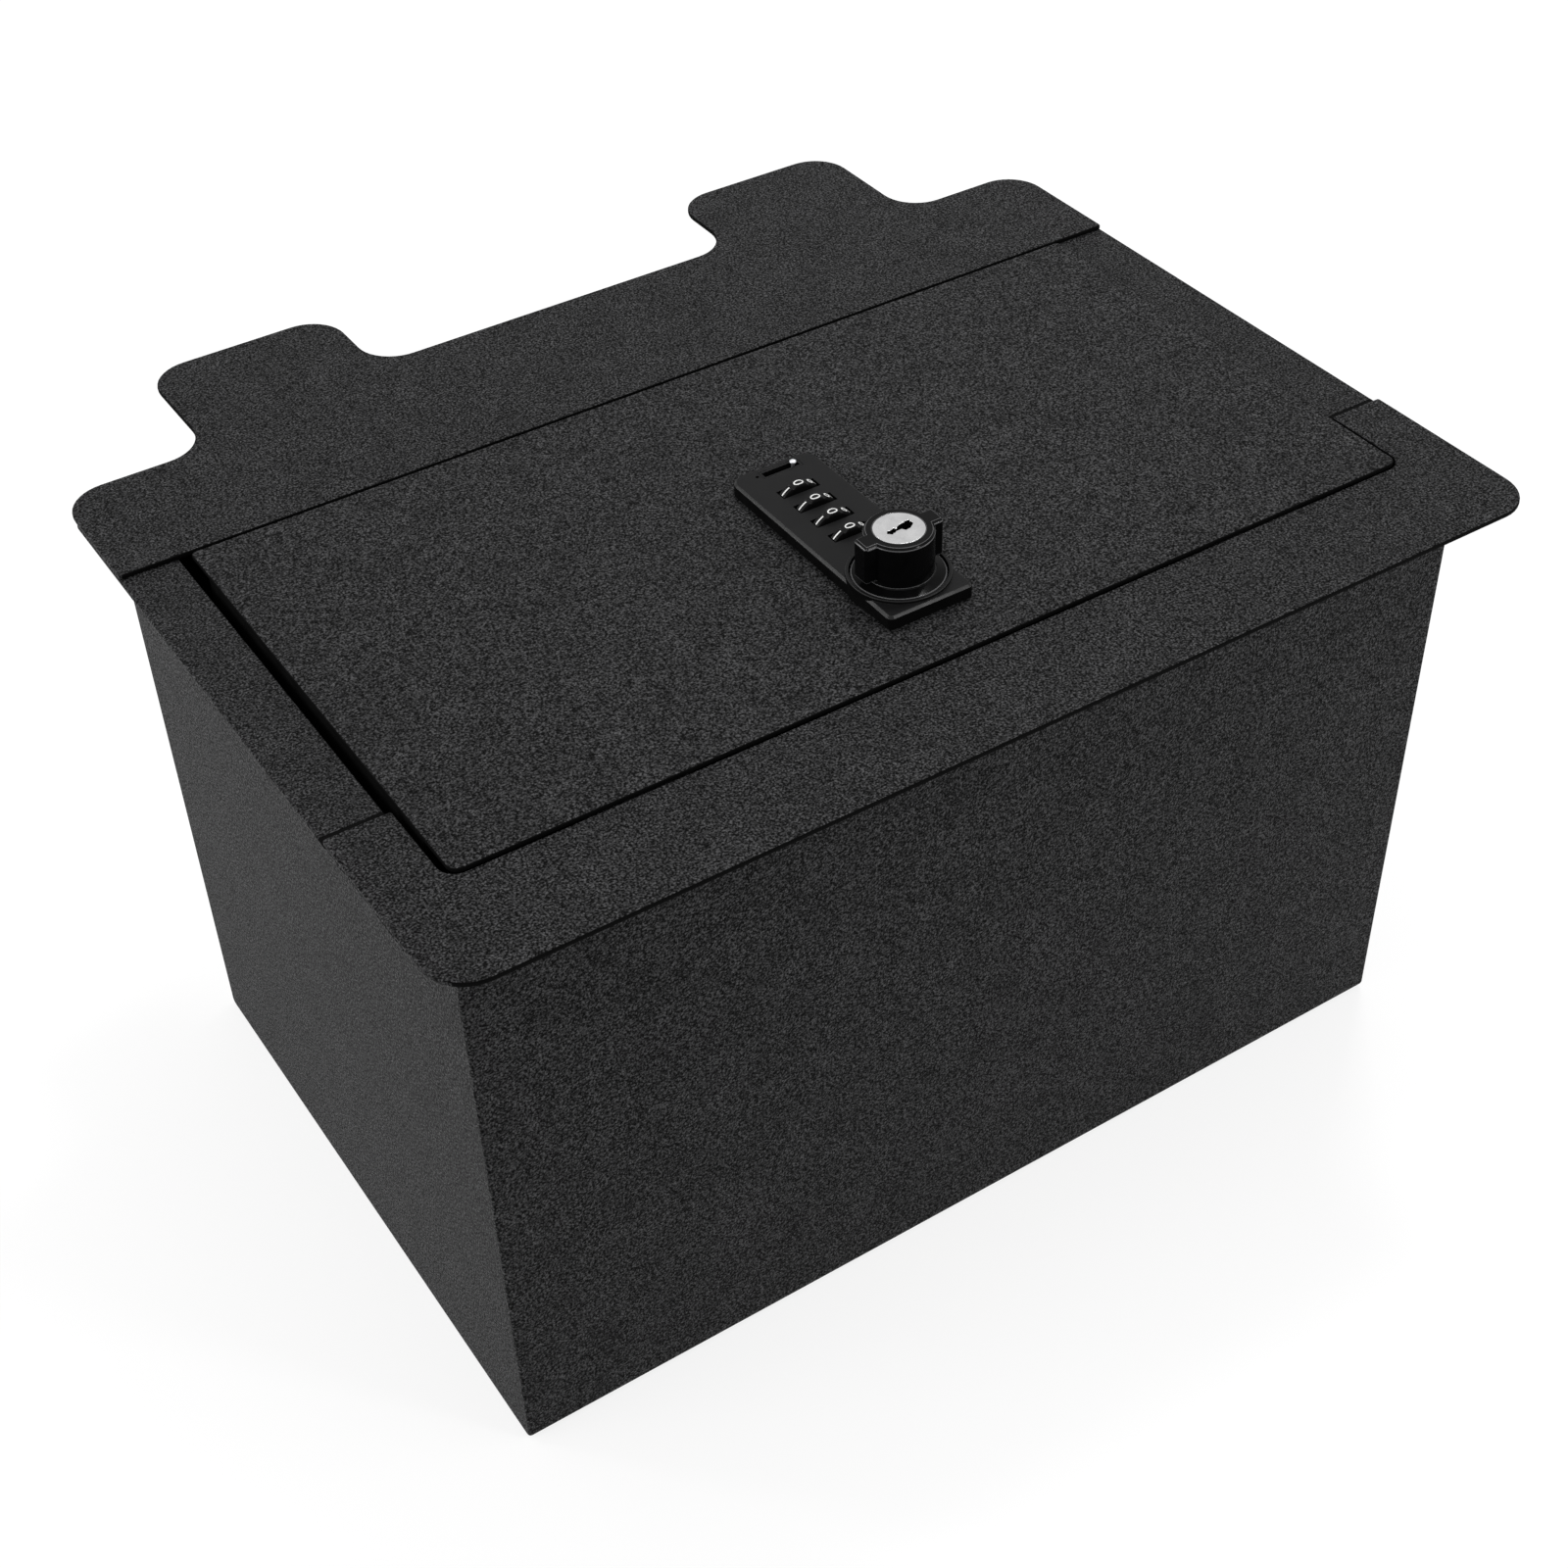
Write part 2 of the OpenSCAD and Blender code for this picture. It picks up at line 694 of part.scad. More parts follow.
// Number wheel: a notched band between two sloping shoulders, on a hub as long as the pitch
module number_wheel(i) {
    hub_l = wheel_pitch - move_gap;
    shoulder_w = (wheel_w - band_w) / 2;
    color(wheel_black) translate([lock_x, wheel_y(i), wheel_z]) rotate([-90, 0, 0]) difference() {
        union() {
            translate([0, 0, -band_w / 2]) cylinder(r = wheel_r, h = band_w);
            for (side = [0, 1]) mirror([0, 0, side]) translate([0, 0, band_w / 2])
                cylinder(r1 = wheel_r, r2 = wheel_r - shoulder_d, h = shoulder_w);
            translate([0, 0, -hub_l / 2]) cylinder(r = hub_r, h = hub_l);
        }
        translate([0, 0, -hub_l]) cylinder(r = axle_r + shaft_gap, h = 2 * hub_l);
        for (n = [0 : digits - 1])
            rotate((n + 0.5) * 360 / digits)
                translate([0, wheel_r + notch_r - notch_depth, -wheel_w])
                    cylinder(r = notch_r, h = 2 * wheel_w);
    }
}

module number_wheel_1() {
    number_wheel(0);
}

module number_wheel_2() {
    number_wheel(1);
}

module number_wheel_3() {
    number_wheel(2);
}

module number_wheel_4() {
    number_wheel(3);
}

// Foot under the escutcheon, pin through its slot and a small button on top
module code_change_slider() {
    foot_z = lid_top - slider_t - move_gap;
    button_z = lock_top - foot_z + move_gap;
    color(zinc) translate([lock_x + slider_x, slot_y, foot_z]) {
        block([-slider_l / 2, -slider_w / 2, 0], [slider_l / 2, slider_w / 2, slider_t]);
        cylinder(r = slider_pin_r, h = button_z + cut);
        translate([0, 0, button_z]) cylinder(r = slider_head_r, h = slider_head_t);
        translate([0, 0, button_z + slider_head_t])
            cylinder(r1 = slider_head_r, r2 = slider_pin_r, h = slider_head_t / 2);
    }
}

module turn_knob() {
    wing_top = knob_top - knob_bevel;
    color(lock_black) translate([lock_x, knob_y, 0]) difference() {
        union() {
            translate([0, 0, skirt_z]) cylinder(r = skirt_r, h = skirt_top - skirt_z);
            translate([0, 0, skirt_top]) cylinder(r1 = skirt_r, r2 = barrel_r, h = skirt_slope);
            translate([0, 0, skirt_z]) cylinder(r = barrel_r, h = wing_top - skirt_z);
            translate([0, 0, wing_top])
                cylinder(r1 = barrel_r, r2 = barrel_r - knob_bevel, h = knob_bevel);
            block([-wing_span / 2, -wing_w / 2, wing_z], [wing_span / 2, wing_w / 2, wing_top]);
            translate([0, 0, wing_top]) intersection() {
                translate([0, wing_w / 2, 0]) rotate([90, 0, 0]) linear_extrude(wing_w)
                    polygon([[-wing_span / 2, 0], [wing_span / 2, 0],
                             [wing_span / 2 - knob_bevel, knob_bevel],
                             [-wing_span / 2 + knob_bevel, knob_bevel]]);
                translate([-wing_span / 2, 0, 0]) rotate([90, 0, 90]) linear_extrude(wing_span)
                    polygon([[-wing_w / 2, 0], [wing_w / 2, 0],
                             [wing_w / 2 - knob_bevel, knob_bevel],
                             [-wing_w / 2 + knob_bevel, knob_bevel]]);
            }
            translate([0, 0, stem_foot]) cylinder(r = stem_r, h = skirt_z - stem_foot + cut);
        }
        translate([0, 0, knob_top - plug_head_t]) cylinder(r = plug_r + shaft_gap, h = knob_h);
        translate([0, 0, knob_top - plug_l - move_gap])
            cylinder(r = plug_body_r + shaft_gap, h = knob_h);
        block([-socket / 2, -socket / 2, stem_foot - cut],
              [socket / 2, socket / 2, stem_foot + socket_h]);
    }
}

module lock_spindle() {
    square_h = stem_foot + socket_h - 0.2 - square_foot;
    color(zinc) translate([lock_x, knob_y, 0]) difference() {
        union() {
            translate([0, 0, square_foot + cam_t])
                cylinder(r = spindle_r, h = stem_foot - square_foot - cam_t);
            translate([0, 0, stem_foot - collar_t]) cylinder(r = collar_r, h = collar_t);
            translate([-square_w / 2, -square_w / 2, square_foot]) cube([square_w, square_w, square_h]);
        }
        translate([0, 0, square_foot - cut])
            cylinder(r = cam_screw_r + shaft_gap, h = cam_screw_l + cut);
    }
}

// Straight cam with round ends, pointing to the left while the lid is free
module latch_cam() {
    color(zinc) translate([lock_x, knob_y, cam_z]) difference() {
        union() {
            cylinder(r = cam_root_r, h = cam_t);
            translate([-cam_l + cam_tip_r, 0, 0]) cylinder(r = cam_tip_r, h = cam_t);
            linear_extrude(cam_t)
                polygon([[0, -cam_root_r], [0, cam_root_r],
                         [-cam_l + cam_tip_r, cam_tip_r], [-cam_l + cam_tip_r, -cam_tip_r]]);
        }
        block([-socket / 2, -socket / 2, -cut], [socket / 2, socket / 2, cam_t + cut]);
    }
}

module cam_washer() {
    color(zinc) translate([lock_x, knob_y, cam_z - washer_t]) difference() {
        cylinder(r = washer_r, h = washer_t);
        translate([0, 0, -cut]) cylinder(r = cam_screw_r + 0.2, h = washer_t + 2 * cut);
    }
}

module cam_screw() {
    color(zinc) translate([lock_x, knob_y, cam_z - washer_t]) {
        cylinder(r = cam_screw_r, h = washer_t + cam_screw_l - 0.5);
        translate([0, 0, -cam_screw_head_t]) difference() {
            cylinder(r = cam_screw_head_r, h = cam_screw_head_t);
            block([-cam_screw_head_r, -0.4, -cut], [cam_screw_head_r, 0.4, 0.9]);
        }
    }
}

// Key plug: a broad face on a narrower body, with a warded keyway
module key_plug() {
    color(zinc) translate([lock_x, knob_y, knob_top]) difference() {
        union() {
            translate([0, 0, -plug_head_t]) cylinder(r = plug_r, h = plug_head_t);
            translate([0, 0, -plug_l]) cylinder(r = plug_body_r, h = plug_l - plug_head_t + cut);
        }
        translate([0, 0, -plug_l + 2]) linear_extrude(plug_l)
            polygon([[-3.9, -0.3], [-3.1, 0.7], [-2.4, 0.2], [-0.6, 0.2], [0.3, 1.1], [2.2, 1.5],
                     [2.9, 0.9], [3.9, 0.7], [3.4, -0.7], [1.4, -1.1], [0.2, -0.5], [-1.8, -0.6],
                     [-2.9, -1.3]]);
    }
}

box_wrap();
left_side();
right_side();
left_flange();
right_flange();
front_plate();
rear_plate();
hinge_rail();
hinge_fixed_leaf();
hinge_pin();
hinge_rivets();
strike_bracket();
lid_stops();
stop_bumpers();
lid_panel();
lid_hinge_leaf();
lock_escutcheon();
lock_housing();
wheel_axle();
detent_spring();
lock_screws();
number_wheel_1();
number_wheel_2();
number_wheel_3();
number_wheel_4();
code_change_slider();
turn_knob();
lock_spindle();
latch_cam();
cam_washer();
cam_screw();
key_plug();
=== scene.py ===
"""Looks of a drop-in steel console box with a hinged lid and a four-wheel combination cam lock.

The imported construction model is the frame. Every piece is built in place round it, in metres, in
the frame's own axes: the front of the box faces -Y and +Z is up. Sizes in the classes are
millimetres.
"""

import logging
import math
from collections.abc import Callable, Sequence
from dataclasses import dataclass
from enum import Enum
from functools import partial, reduce

import bmesh
import bpy
from mathutils import Matrix, Vector


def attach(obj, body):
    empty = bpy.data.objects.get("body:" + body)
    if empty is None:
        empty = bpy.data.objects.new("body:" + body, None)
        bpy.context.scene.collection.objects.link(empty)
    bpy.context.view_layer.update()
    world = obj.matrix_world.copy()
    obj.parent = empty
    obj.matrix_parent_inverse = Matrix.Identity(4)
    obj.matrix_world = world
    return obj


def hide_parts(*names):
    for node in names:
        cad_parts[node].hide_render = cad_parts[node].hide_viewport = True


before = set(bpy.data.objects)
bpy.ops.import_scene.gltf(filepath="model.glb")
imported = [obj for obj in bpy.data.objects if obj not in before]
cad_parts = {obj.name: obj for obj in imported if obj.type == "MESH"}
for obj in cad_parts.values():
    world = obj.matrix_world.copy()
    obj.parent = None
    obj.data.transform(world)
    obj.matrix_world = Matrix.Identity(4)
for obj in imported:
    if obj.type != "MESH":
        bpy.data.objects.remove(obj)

log = logging.getLogger("console_box")

MM = 0.001
WHITE = (1.0, 1.0, 1.0, 1.0)
CORNER_STEPS = 10
SMOOTH_TO = math.radians(34.0)

# Sizes that more than one piece of the lock uses, in millimetres
LOCK_AXIS = (0.4, -73.9)
LOCK_TOP = 214.8
WHEEL_ROW = (-27.2, -35.37, -43.54, -51.71)
WHEEL_Z = 195.9

Point = tuple[float, float, float]
Colour = tuple[float, float, float]
Range = tuple[float, float]
Shape = bmesh.types.BMesh
Node = bpy.types.Node
Socket = bpy.types.NodeSocket
Tree = bpy.types.NodeTree


class Joining(Enum):
    """How a tool shape acts on the shape it meets."""

    FUSE = "UNION"
    CARVE = "DIFFERENCE"


class Axis(Enum):
    """Direction that a round bar runs along, as its turn about X."""

    Y = math.pi / 2
    Z = 0.0


# ---- shapes ----


def sheet(corners: Sequence[Point], low: float, high: float) -> Shape:
    """Cut a flat sheet to an outline with rounded corners.

    Args:
        corners: x, y and corner radius of each corner, in order round the outline.
        low: height of the underside.
        high: height of the upper face.

    Returns:
        The closed sheet.
    """
    shape = bmesh.new()
    points = [shape.verts.new((x * MM, y * MM, low * MM)) for x, y, _ in corners]
    shape.faces.new(points)
    for point, (_, _, radius) in zip(points, corners):
        if radius:
            round_over(shape, [point], radius, CORNER_STEPS, "VERTICES")
    return thicken(shape, high - low)


def thicken(shape: Shape, height: float) -> Shape:
    """Pull every face of a flat shape up to a height, and close the sides.

    Args:
        shape: the flat shape to change.
        height: the height.

    Returns:
        The same shape.
    """
    lifted = bmesh.ops.extrude_face_region(shape, geom=shape.faces[:])["geom"]
    moved = [item for item in lifted if isinstance(item, bmesh.types.BMVert)]
    bmesh.ops.translate(shape, vec=(0, 0, height * MM), verts=moved)
    bmesh.ops.recalc_face_normals(shape, faces=shape.faces)
    return shape


def round_over(shape: Shape, geometry: list, width: float, steps: int, what: str) -> None:
    """Bevel chosen corners or edges of a shape.

    Args:
        shape: the shape to change.
        geometry: its vertices or edges to bevel.
        width: width of the bevel.
        steps: number of facets across it.
        what: VERTICES or EDGES.
    """
    bmesh.ops.bevel(
        shape, geom=geometry, offset=width * MM, offset_type="OFFSET", segments=steps,
        profile=0.5, affect=what, material=-1, clamp_overlap=False,
    )


def soften(
    shape: Shape,
    width: float,
    steps: int = 3,
    least_angle: float = 28.0,
    chosen: Callable[[bmesh.types.BMEdge], bool] = lambda edge: True,
) -> Shape:
    """Round the sharp edges of a shape.

    Args:
        shape: the shape to change.
        width: width of the rounding.
        steps: number of facets across it.
        least_angle: edges that turn by less than this, in degrees, stay as they are.
        chosen: picks among the sharp edges.

    Returns:
        The same shape.
    """
    least = math.radians(least_angle)
    paired = [edge for edge in shape.edges if len(edge.link_faces) == 2]
    sharp = [edge for edge in paired if edge.calc_face_angle() > least and chosen(edge)]
    round_over(shape, sharp, width, steps, "EDGES")
    return shape


def merge_flats(shape: Shape, least_angle: float = 0.2) -> Shape:
    """Merge neighbouring faces that lie flat with each other.

    Args:
        shape: the shape to change.
        least_angle: faces that turn by more than this, in degrees, stay apart.

    Returns:
        The same shape.
    """
    bmesh.ops.dissolve_limit(
        shape, angle_limit=math.radians(least_angle), use_dissolve_boundaries=False,
        verts=shape.verts, edges=shape.edges,
    )
    return shape


def block(low: Point, high: Point) -> Shape:
    """Make a rectangular block.

    Args:
        low: its lowest corner.
        high: its highest corner.

    Returns:
        The closed block.
    """
    shape = bmesh.new()
    bmesh.ops.create_cube(shape, size=1.0)
    size = [b - a for a, b in zip(low, high)]
    bmesh.ops.scale(shape, vec=[s * MM for s in size], verts=shape.verts)
    middle = [(a + b) / 2 * MM for a, b in zip(low, high)]
    bmesh.ops.translate(shape, vec=middle, verts=shape.verts)
    return shape


def bar(middle: Point, radius: float, length: float, axis: Axis = Axis.Z, sides: int = 72) -> Shape:
    """Make a round bar.

    Args:
        middle: middle of the bar.
        radius: its radius.
        length: its length.
        axis: the direction it runs along.
        sides: number of facets round it.

    Returns:
        The closed bar.
    """
    shape = bmesh.new()
    bmesh.ops.create_cone(
        shape, cap_ends=True, segments=sides,
        radius1=radius * MM, radius2=radius * MM, depth=length * MM,
    )
    turn = Matrix.Rotation(axis.value, 4, "X")
    bmesh.ops.rotate(shape, cent=(0, 0, 0), matrix=turn, verts=shape.verts)
    bmesh.ops.translate(shape, vec=[c * MM for c in middle], verts=shape.verts)
    return shape


def turned(profile: Sequence[Range], centre: Range, steps: int = 96) -> Shape:
    """Turn a profile about a vertical axis.

    Args:
        profile: radius and height of each point, from the axis and back to it.
        centre: x and y of the axis.
        steps: number of facets round the shape.

    Returns:
        The closed shape.
    """
    shape = bmesh.new()
    x, y = centre[0] * MM, centre[1] * MM
    points = [shape.verts.new((x + r * MM, y, z * MM)) for r, z in profile]
    edges = [shape.edges.new(pair) for pair in zip(points, points[1:])]
    bmesh.ops.spin(
        shape, geom=points + edges, cent=(x, y, 0), axis=(0, 0, 1), angle=math.tau, steps=steps,
        use_merge=True, use_duplicate=False,
    )
    bmesh.ops.remove_doubles(shape, verts=shape.verts, dist=1e-7)
    bmesh.ops.recalc_face_normals(shape, faces=shape.faces)
    return shape


def copy_of(node: str, width: float) -> Shape:
    """Copy a CAD node's mesh, merge its loose triangles and soften its sharp edges.

    Args:
        node: name of the node.
        width: width of the rounding on its edges, or 0 to leave them sharp.

    Returns:
        The closed shape.
    """
    shape = bmesh.new()
    shape.from_mesh(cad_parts[node].data)
    bmesh.ops.remove_doubles(shape, verts=shape.verts, dist=1e-6)
    merge_flats(shape, 0.5)
    if width:
        soften(shape, width, 2, least_angle=32.0)
    return shape


def mesh_of(shape: Shape, name: str) -> bpy.types.Mesh:
    """Turn a shape into a mesh.

    Args:
        shape: the shape, which is used up.
        name: the mesh's name.

    Returns:
        The mesh.
    """
    mesh = bpy.data.meshes.new(name)
    shape.to_mesh(mesh)
    shape.free()
    return mesh


def object_of(name: str, data: bpy.types.ID) -> bpy.types.Object:
    """Put a new object into the scene.

    Args:
        name: its name.
        data: its mesh, curve, lamp or camera.

    Returns:
        The object.
    """
    item = bpy.data.objects.new(name, data)
    bpy.context.scene.collection.objects.link(item)
    return item


def finished_mesh(item: bpy.types.Object) -> bpy.types.Mesh:
    """Make a mesh of an object as it looks with its modifiers.

    Args:
        item: the object, which stays as it is.

    Returns:
        The new mesh.
    """
    bpy.context.view_layer.update()
    depsgraph = bpy.context.evaluated_depsgraph_get()
    return bpy.data.meshes.new_from_object(item.evaluated_get(depsgraph))


def together(shapes: Sequence[Shape]) -> Shape:
    """Gather shapes that don't meet into one.

    Args:
        shapes: the shapes, which are used up.

    Returns:
        The gathered shape.
    """
    whole = bmesh.new()
    for shape in shapes:
        mesh = mesh_of(shape, "part")
        whole.from_mesh(mesh)
        bpy.data.meshes.remove(mesh)
    return whole


def join(how: Joining, shape: Shape, tool: Shape) -> Shape:
    """Fuse a tool shape with another, or carve it out of it.

    Args:
        how: fuse or carve.
        shape: the shape that stays.
        tool: the shape that acts on it. Both are used up.

    Returns:
        The result.
    """
    kept, cutter = (
        object_of(name, mesh_of(source, name)) for name, source in (("kept", shape), ("tool", tool))
    )
    modifier = kept.modifiers.new("join", "BOOLEAN")
    modifier.operation = how.value
    modifier.solver = "EXACT"
    modifier.object = cutter
    result = finished_mesh(kept)
    made = bmesh.new()
    made.from_mesh(result)
    bpy.data.meshes.remove(result)
    for item in (kept, cutter):
        mesh = item.data
        bpy.data.objects.remove(item)
        bpy.data.meshes.remove(mesh)
    bmesh.ops.remove_doubles(made, verts=made.verts, dist=1e-7)
    return made


def carve(shape: Shape, *tools: Shape) -> Shape:
    """Carve each tool out of a shape in turn, and return the result."""
    return reduce(partial(join, Joining.CARVE), tools, shape)


def fuse(shape: Shape, *tools: Shape) -> Shape:
    """Fuse each tool with a shape in turn, and return the result."""
    return reduce(partial(join, Joining.FUSE), tools, shape)


# ---- node trees ----


class Wiring:
    """Places nodes in one tree and links them."""

    def __init__(self, tree: Tree) -> None:
        """Keep a tree and clear it.

        Args:
            tree: the tree to fill.
        """
        self.tree = tree
        self.column = 0
        tree.nodes.clear()

    def node(self, kind: str, inputs: dict | None = None, **settings: object) -> Node:
        """Add a node.

        Args:
            kind: its Blender type name.
            inputs: values or sockets for its inputs, by name or number.
            settings: its own properties.

        Returns:
            The new node.
        """
        made = self.tree.nodes.new(kind)
        made.location = (self.column * 190, 0)
        self.column += 1
        for name, value in settings.items():
            setattr(made, name, value)
        for key, value in (inputs or {}).items():
            self.feed(made.inputs[key], value)
        return made

    def feed(self, socket: Socket, value: object) -> None:
        """Link an input to another socket, or set it to a plain value.

        Args:
            socket: the input.
            value: the socket or the value that feeds it.
        """
        if isinstance(value, Socket):
            self.tree.links.new(value, socket)
        else:
            socket.default_value = value

    def math(
        self, operation: str, first: object, second: object = 0.0, clamp: bool = False
    ) -> Socket:
        """Add a Math node and return its result."""
        terms = {0: first, 1: second}
        return self.node("ShaderNodeMath", terms, operation=operation, use_clamp=clamp).outputs[0]

    def remap(self, value: object, old: Range, new: Range = (0.0, 1.0)) -> Socket:
        """Stretch a value from one range to another and return the result, clamped."""
        ends = {"From Min": old[0], "From Max": old[1], "To Min": new[0], "To Max": new[1]}
        return self.node("ShaderNodeMapRange", {"Value": value, **ends}).outputs["Result"]

    def noise(self, vector: Socket, scale: object, **more: float) -> Socket:
        """Add a Noise Texture, with two octaves unless told otherwise, and return its value."""
        inputs = {"Vector": vector, "Scale": scale, "Detail": 2.0} | more
        return self.node("ShaderNodeTexNoise", inputs).outputs[0]

    def blend(self, share: object, first: Colour, second: Colour) -> Socket:
        """Mix two colours by a share and return the result."""
        inputs = {0: share, 6: (*first, 1.0), 7: (*second, 1.0)}
        return self.node("ShaderNodeMix", inputs, data_type="RGBA").outputs[2]


def new_group(
    name: str, plain: str, default: float, outputs: Sequence[str]
) -> tuple[Wiring, Socket, Socket]:
    """Start a shader node group with a Vector input and one plain input.

    Args:
        name: its name.
        plain: name of the plain input.
        default: value of the plain input where nothing feeds it.
        outputs: names of its value outputs.

    Returns:
        The group's wiring, and the sockets that bring the vector and the plain value.
    """
    tree = bpy.data.node_groups.new(name, "ShaderNodeTree")
    add, value = tree.interface.new_socket, "NodeSocketFloat"
    add("Vector", in_out="INPUT", socket_type="NodeSocketVector")
    add(plain, in_out="INPUT", socket_type=value).default_value = default
    for label in outputs:
        add(label, in_out="OUTPUT", socket_type=value)
    wiring = Wiring(tree)
    given = wiring.node("NodeGroupInput").outputs
    return wiring, given["Vector"], given[plain]


def pebble_group() -> Tree:
    """Build the grain of a textured powder coat: uneven rounded pebbles, with painted shade in the
    valleys.

    Returns:
        A group with inputs Vector and Cells (per metre), and outputs Height, Crest and Patch.
    """
    outputs = ("Height", "Crest", "Patch")
    w, vector, cells = new_group("pebble_grain", "Cells", 900.0, outputs)
    coarse = {"Vector": vector, "Scale": w.math("MULTIPLY", cells, 0.8)}
    cell = w.node("ShaderNodeTexVoronoi", coarse, feature="F1")
    pebble = w.math("MULTIPLY", w.remap(cell.outputs[0], (0.85, 0.1)), 0.35)
    grit = w.math("MULTIPLY", w.remap(w.noise(vector, cells, Roughness=0.6), (0.32, 0.68)), 0.65)
    height = w.math("ADD", pebble, grit)
    crest = w.math("POWER", w.remap(height, (0.2, 0.88)), 1.7)
    patch = w.noise(vector, 95.0, Detail=3.0, Roughness=0.6)
    w.node("NodeGroupOutput", {"Height": height, "Crest": crest, "Patch": patch})
    return w.tree


def handling_group() -> Tree:
    """Build the marks of handling: soft smudges, fine specks of dust and a faint orange peel.

    Returns:
        A group with inputs Vector and Scale, and outputs Smudge, Speck and Peel.
    """
    outputs = ("Smudge", "Speck", "Peel")
    w, vector, scale = new_group("handling_marks", "Scale", 1.0, outputs)
    broad, small, fine = (w.math("MULTIPLY", scale, cells) for cells in (160.0, 700.0, 1600.0))
    smudge = w.remap(w.noise(vector, broad, Detail=3.0, Distortion=0.6), (0.35, 0.7))
    dots = w.node("ShaderNodeTexVoronoi", {"Vector": vector, "Scale": small}, feature="F1")
    speck = w.remap(dots.outputs[0], (0.1, 0.03))
    peel = w.noise(vector, fine)
    w.node("NodeGroupOutput", {"Smudge": smudge, "Speck": speck, "Peel": peel})
    return w.tree


def turning_group() -> Tree:
    """Build the fine rings that a lathe or a polishing mop leaves round an axis.

    Returns:
        A group with inputs Vector (centred on the axis) and Rings (per metre), and output Ring.
    """
    w, vector, rings = new_group("turning_marks", "Rings", 5000.0, ["Ring"])
    x, y, _ = w.node("ShaderNodeSeparateXYZ", {0: vector}).outputs
    flat = w.node("ShaderNodeCombineXYZ", {0: x, 1: y}).outputs[0]
    length = w.node("ShaderNodeVectorMath", {0: flat}, operation="LENGTH").outputs["Value"]
    angle = w.math("ARCTAN2", y, x)
    out = w.math("MULTIPLY", length, rings)
    place = {0: out, 1: w.math("COSINE", angle), 2: w.math("SINE", angle)}
    ring = w.noise(w.node("ShaderNodeCombineXYZ", place).outputs[0], 1.0)
    w.node("NodeGroupOutput", {"Ring": ring})
    return w.tree


# ---- finishes ----


@dataclass(frozen=True)
class Finish:
    """Common part of each finish: its material's name and the name of a slot, which this script
    keeps but does not use.
    """

    name: str
    slot: str

    def material(self) -> bpy.types.Material:
        """Build the finish's material, or find it where it is built already.

        Returns:
            The material.
        """
        found = bpy.data.materials.get(self.name)
        if found is None:
            found = bpy.data.materials.new(self.name)
            found.use_nodes = True
            w = Wiring(found.node_tree)
            place = w.node("ShaderNodeTexCoord").outputs["Object"]
            shader = w.node("ShaderNodeBsdfPrincipled", self.dress(w, place))
            w.node("ShaderNodeOutputMaterial", {0: shader.outputs[0]})
        return found

    def dress(self, w: Wiring, place: Socket) -> dict:
        """Wire the finish's own nodes.

        Args:
            w: the material's wiring.
            place: the Object coordinates.

        Returns:
            What feeds each input of the Principled node.
        """
        raise NotImplementedError

    @staticmethod
    def group(w: Wiring, name: str, inputs: dict) -> bpy.types.NodeOutputs:
        """Place a shared node group in the tree, and return its outputs."""
        tree = bpy.data.node_groups.get(name) or GROUPS[name]()
        return w.node("ShaderNodeGroup", inputs, node_tree=tree).outputs

    @staticmethod
    def emboss(w: Wiring, height: Socket, depth: float, share: float) -> Socket:
        """Turn a height into a normal.

        Args:
            w: the material's wiring.
            height: the height, from 0 to 1.
            depth: the relief from 0 to 1, in millimetres.
            share: strength of the effect.

        Returns:
            The normal.
        """
        inputs = {"Height": height, "Distance": depth * MM, "Strength": share}
        return w.node("ShaderNodeBump", inputs).outputs[0]


GROUPS = {
    "pebble_grain": pebble_group,
    "handling_marks": handling_group,
    "turning_marks": turning_group,
}


@dataclass(frozen=True)
class PowderCoat(Finish):
    """Textured powder coat on sheet steel: its own dark colour, lighter on the grain's crests as a
    painted highlight and darker in its valleys as painted shade.
    """

    # Crest colour carries a painted glint on the grain's tops; valley colour is painted shade
    # between the pebbles
    crest: Colour = (0.067, 0.067, 0.069)
    valley: Colour = (0.002, 0.002, 0.002)
    cells: float = 1800.0
    relief: float = 0.12
    bump: float = 1.0
    rough: Range = (0.6, 0.42)
    specular: float = 0.02
    sparkle: float = 0.30
    sparkle_rough: float = 0.40

    def dress(self, w: Wiring, place: Socket) -> dict:
        """Wire the grain to colour, roughness and normal, the colour painting a highlight on the
        crests and shade in the valleys.

        Args:
            w: the material's wiring.
            place: the Object coordinates.

        Returns:
            What feeds the Principled node.
        """
        grain = self.group(w, "pebble_grain", {"Vector": place, "Cells": self.cells})
        crest, patch = grain["Crest"], grain["Patch"]
        # Painted highlight on the crests, broken up at random in broad patches, over painted shade
        # in the valleys
        painted_glint_and_patches = w.math("MULTIPLY", crest, w.remap(patch, (0.3, 0.7), (0.75, 1.1)))
        return {
            "Base Color": w.blend(painted_glint_and_patches, self.valley, self.crest),
            "Roughness": w.remap(crest, (0.0, 1.0), self.rough),
            "Specular IOR Level": self.specular,
            "Coat Weight": w.math("MULTIPLY", crest, self.sparkle),
            "Coat Roughness": self.sparkle_rough,
            "Normal": self.emboss(w, grain["Height"], self.relief, self.bump),
        }


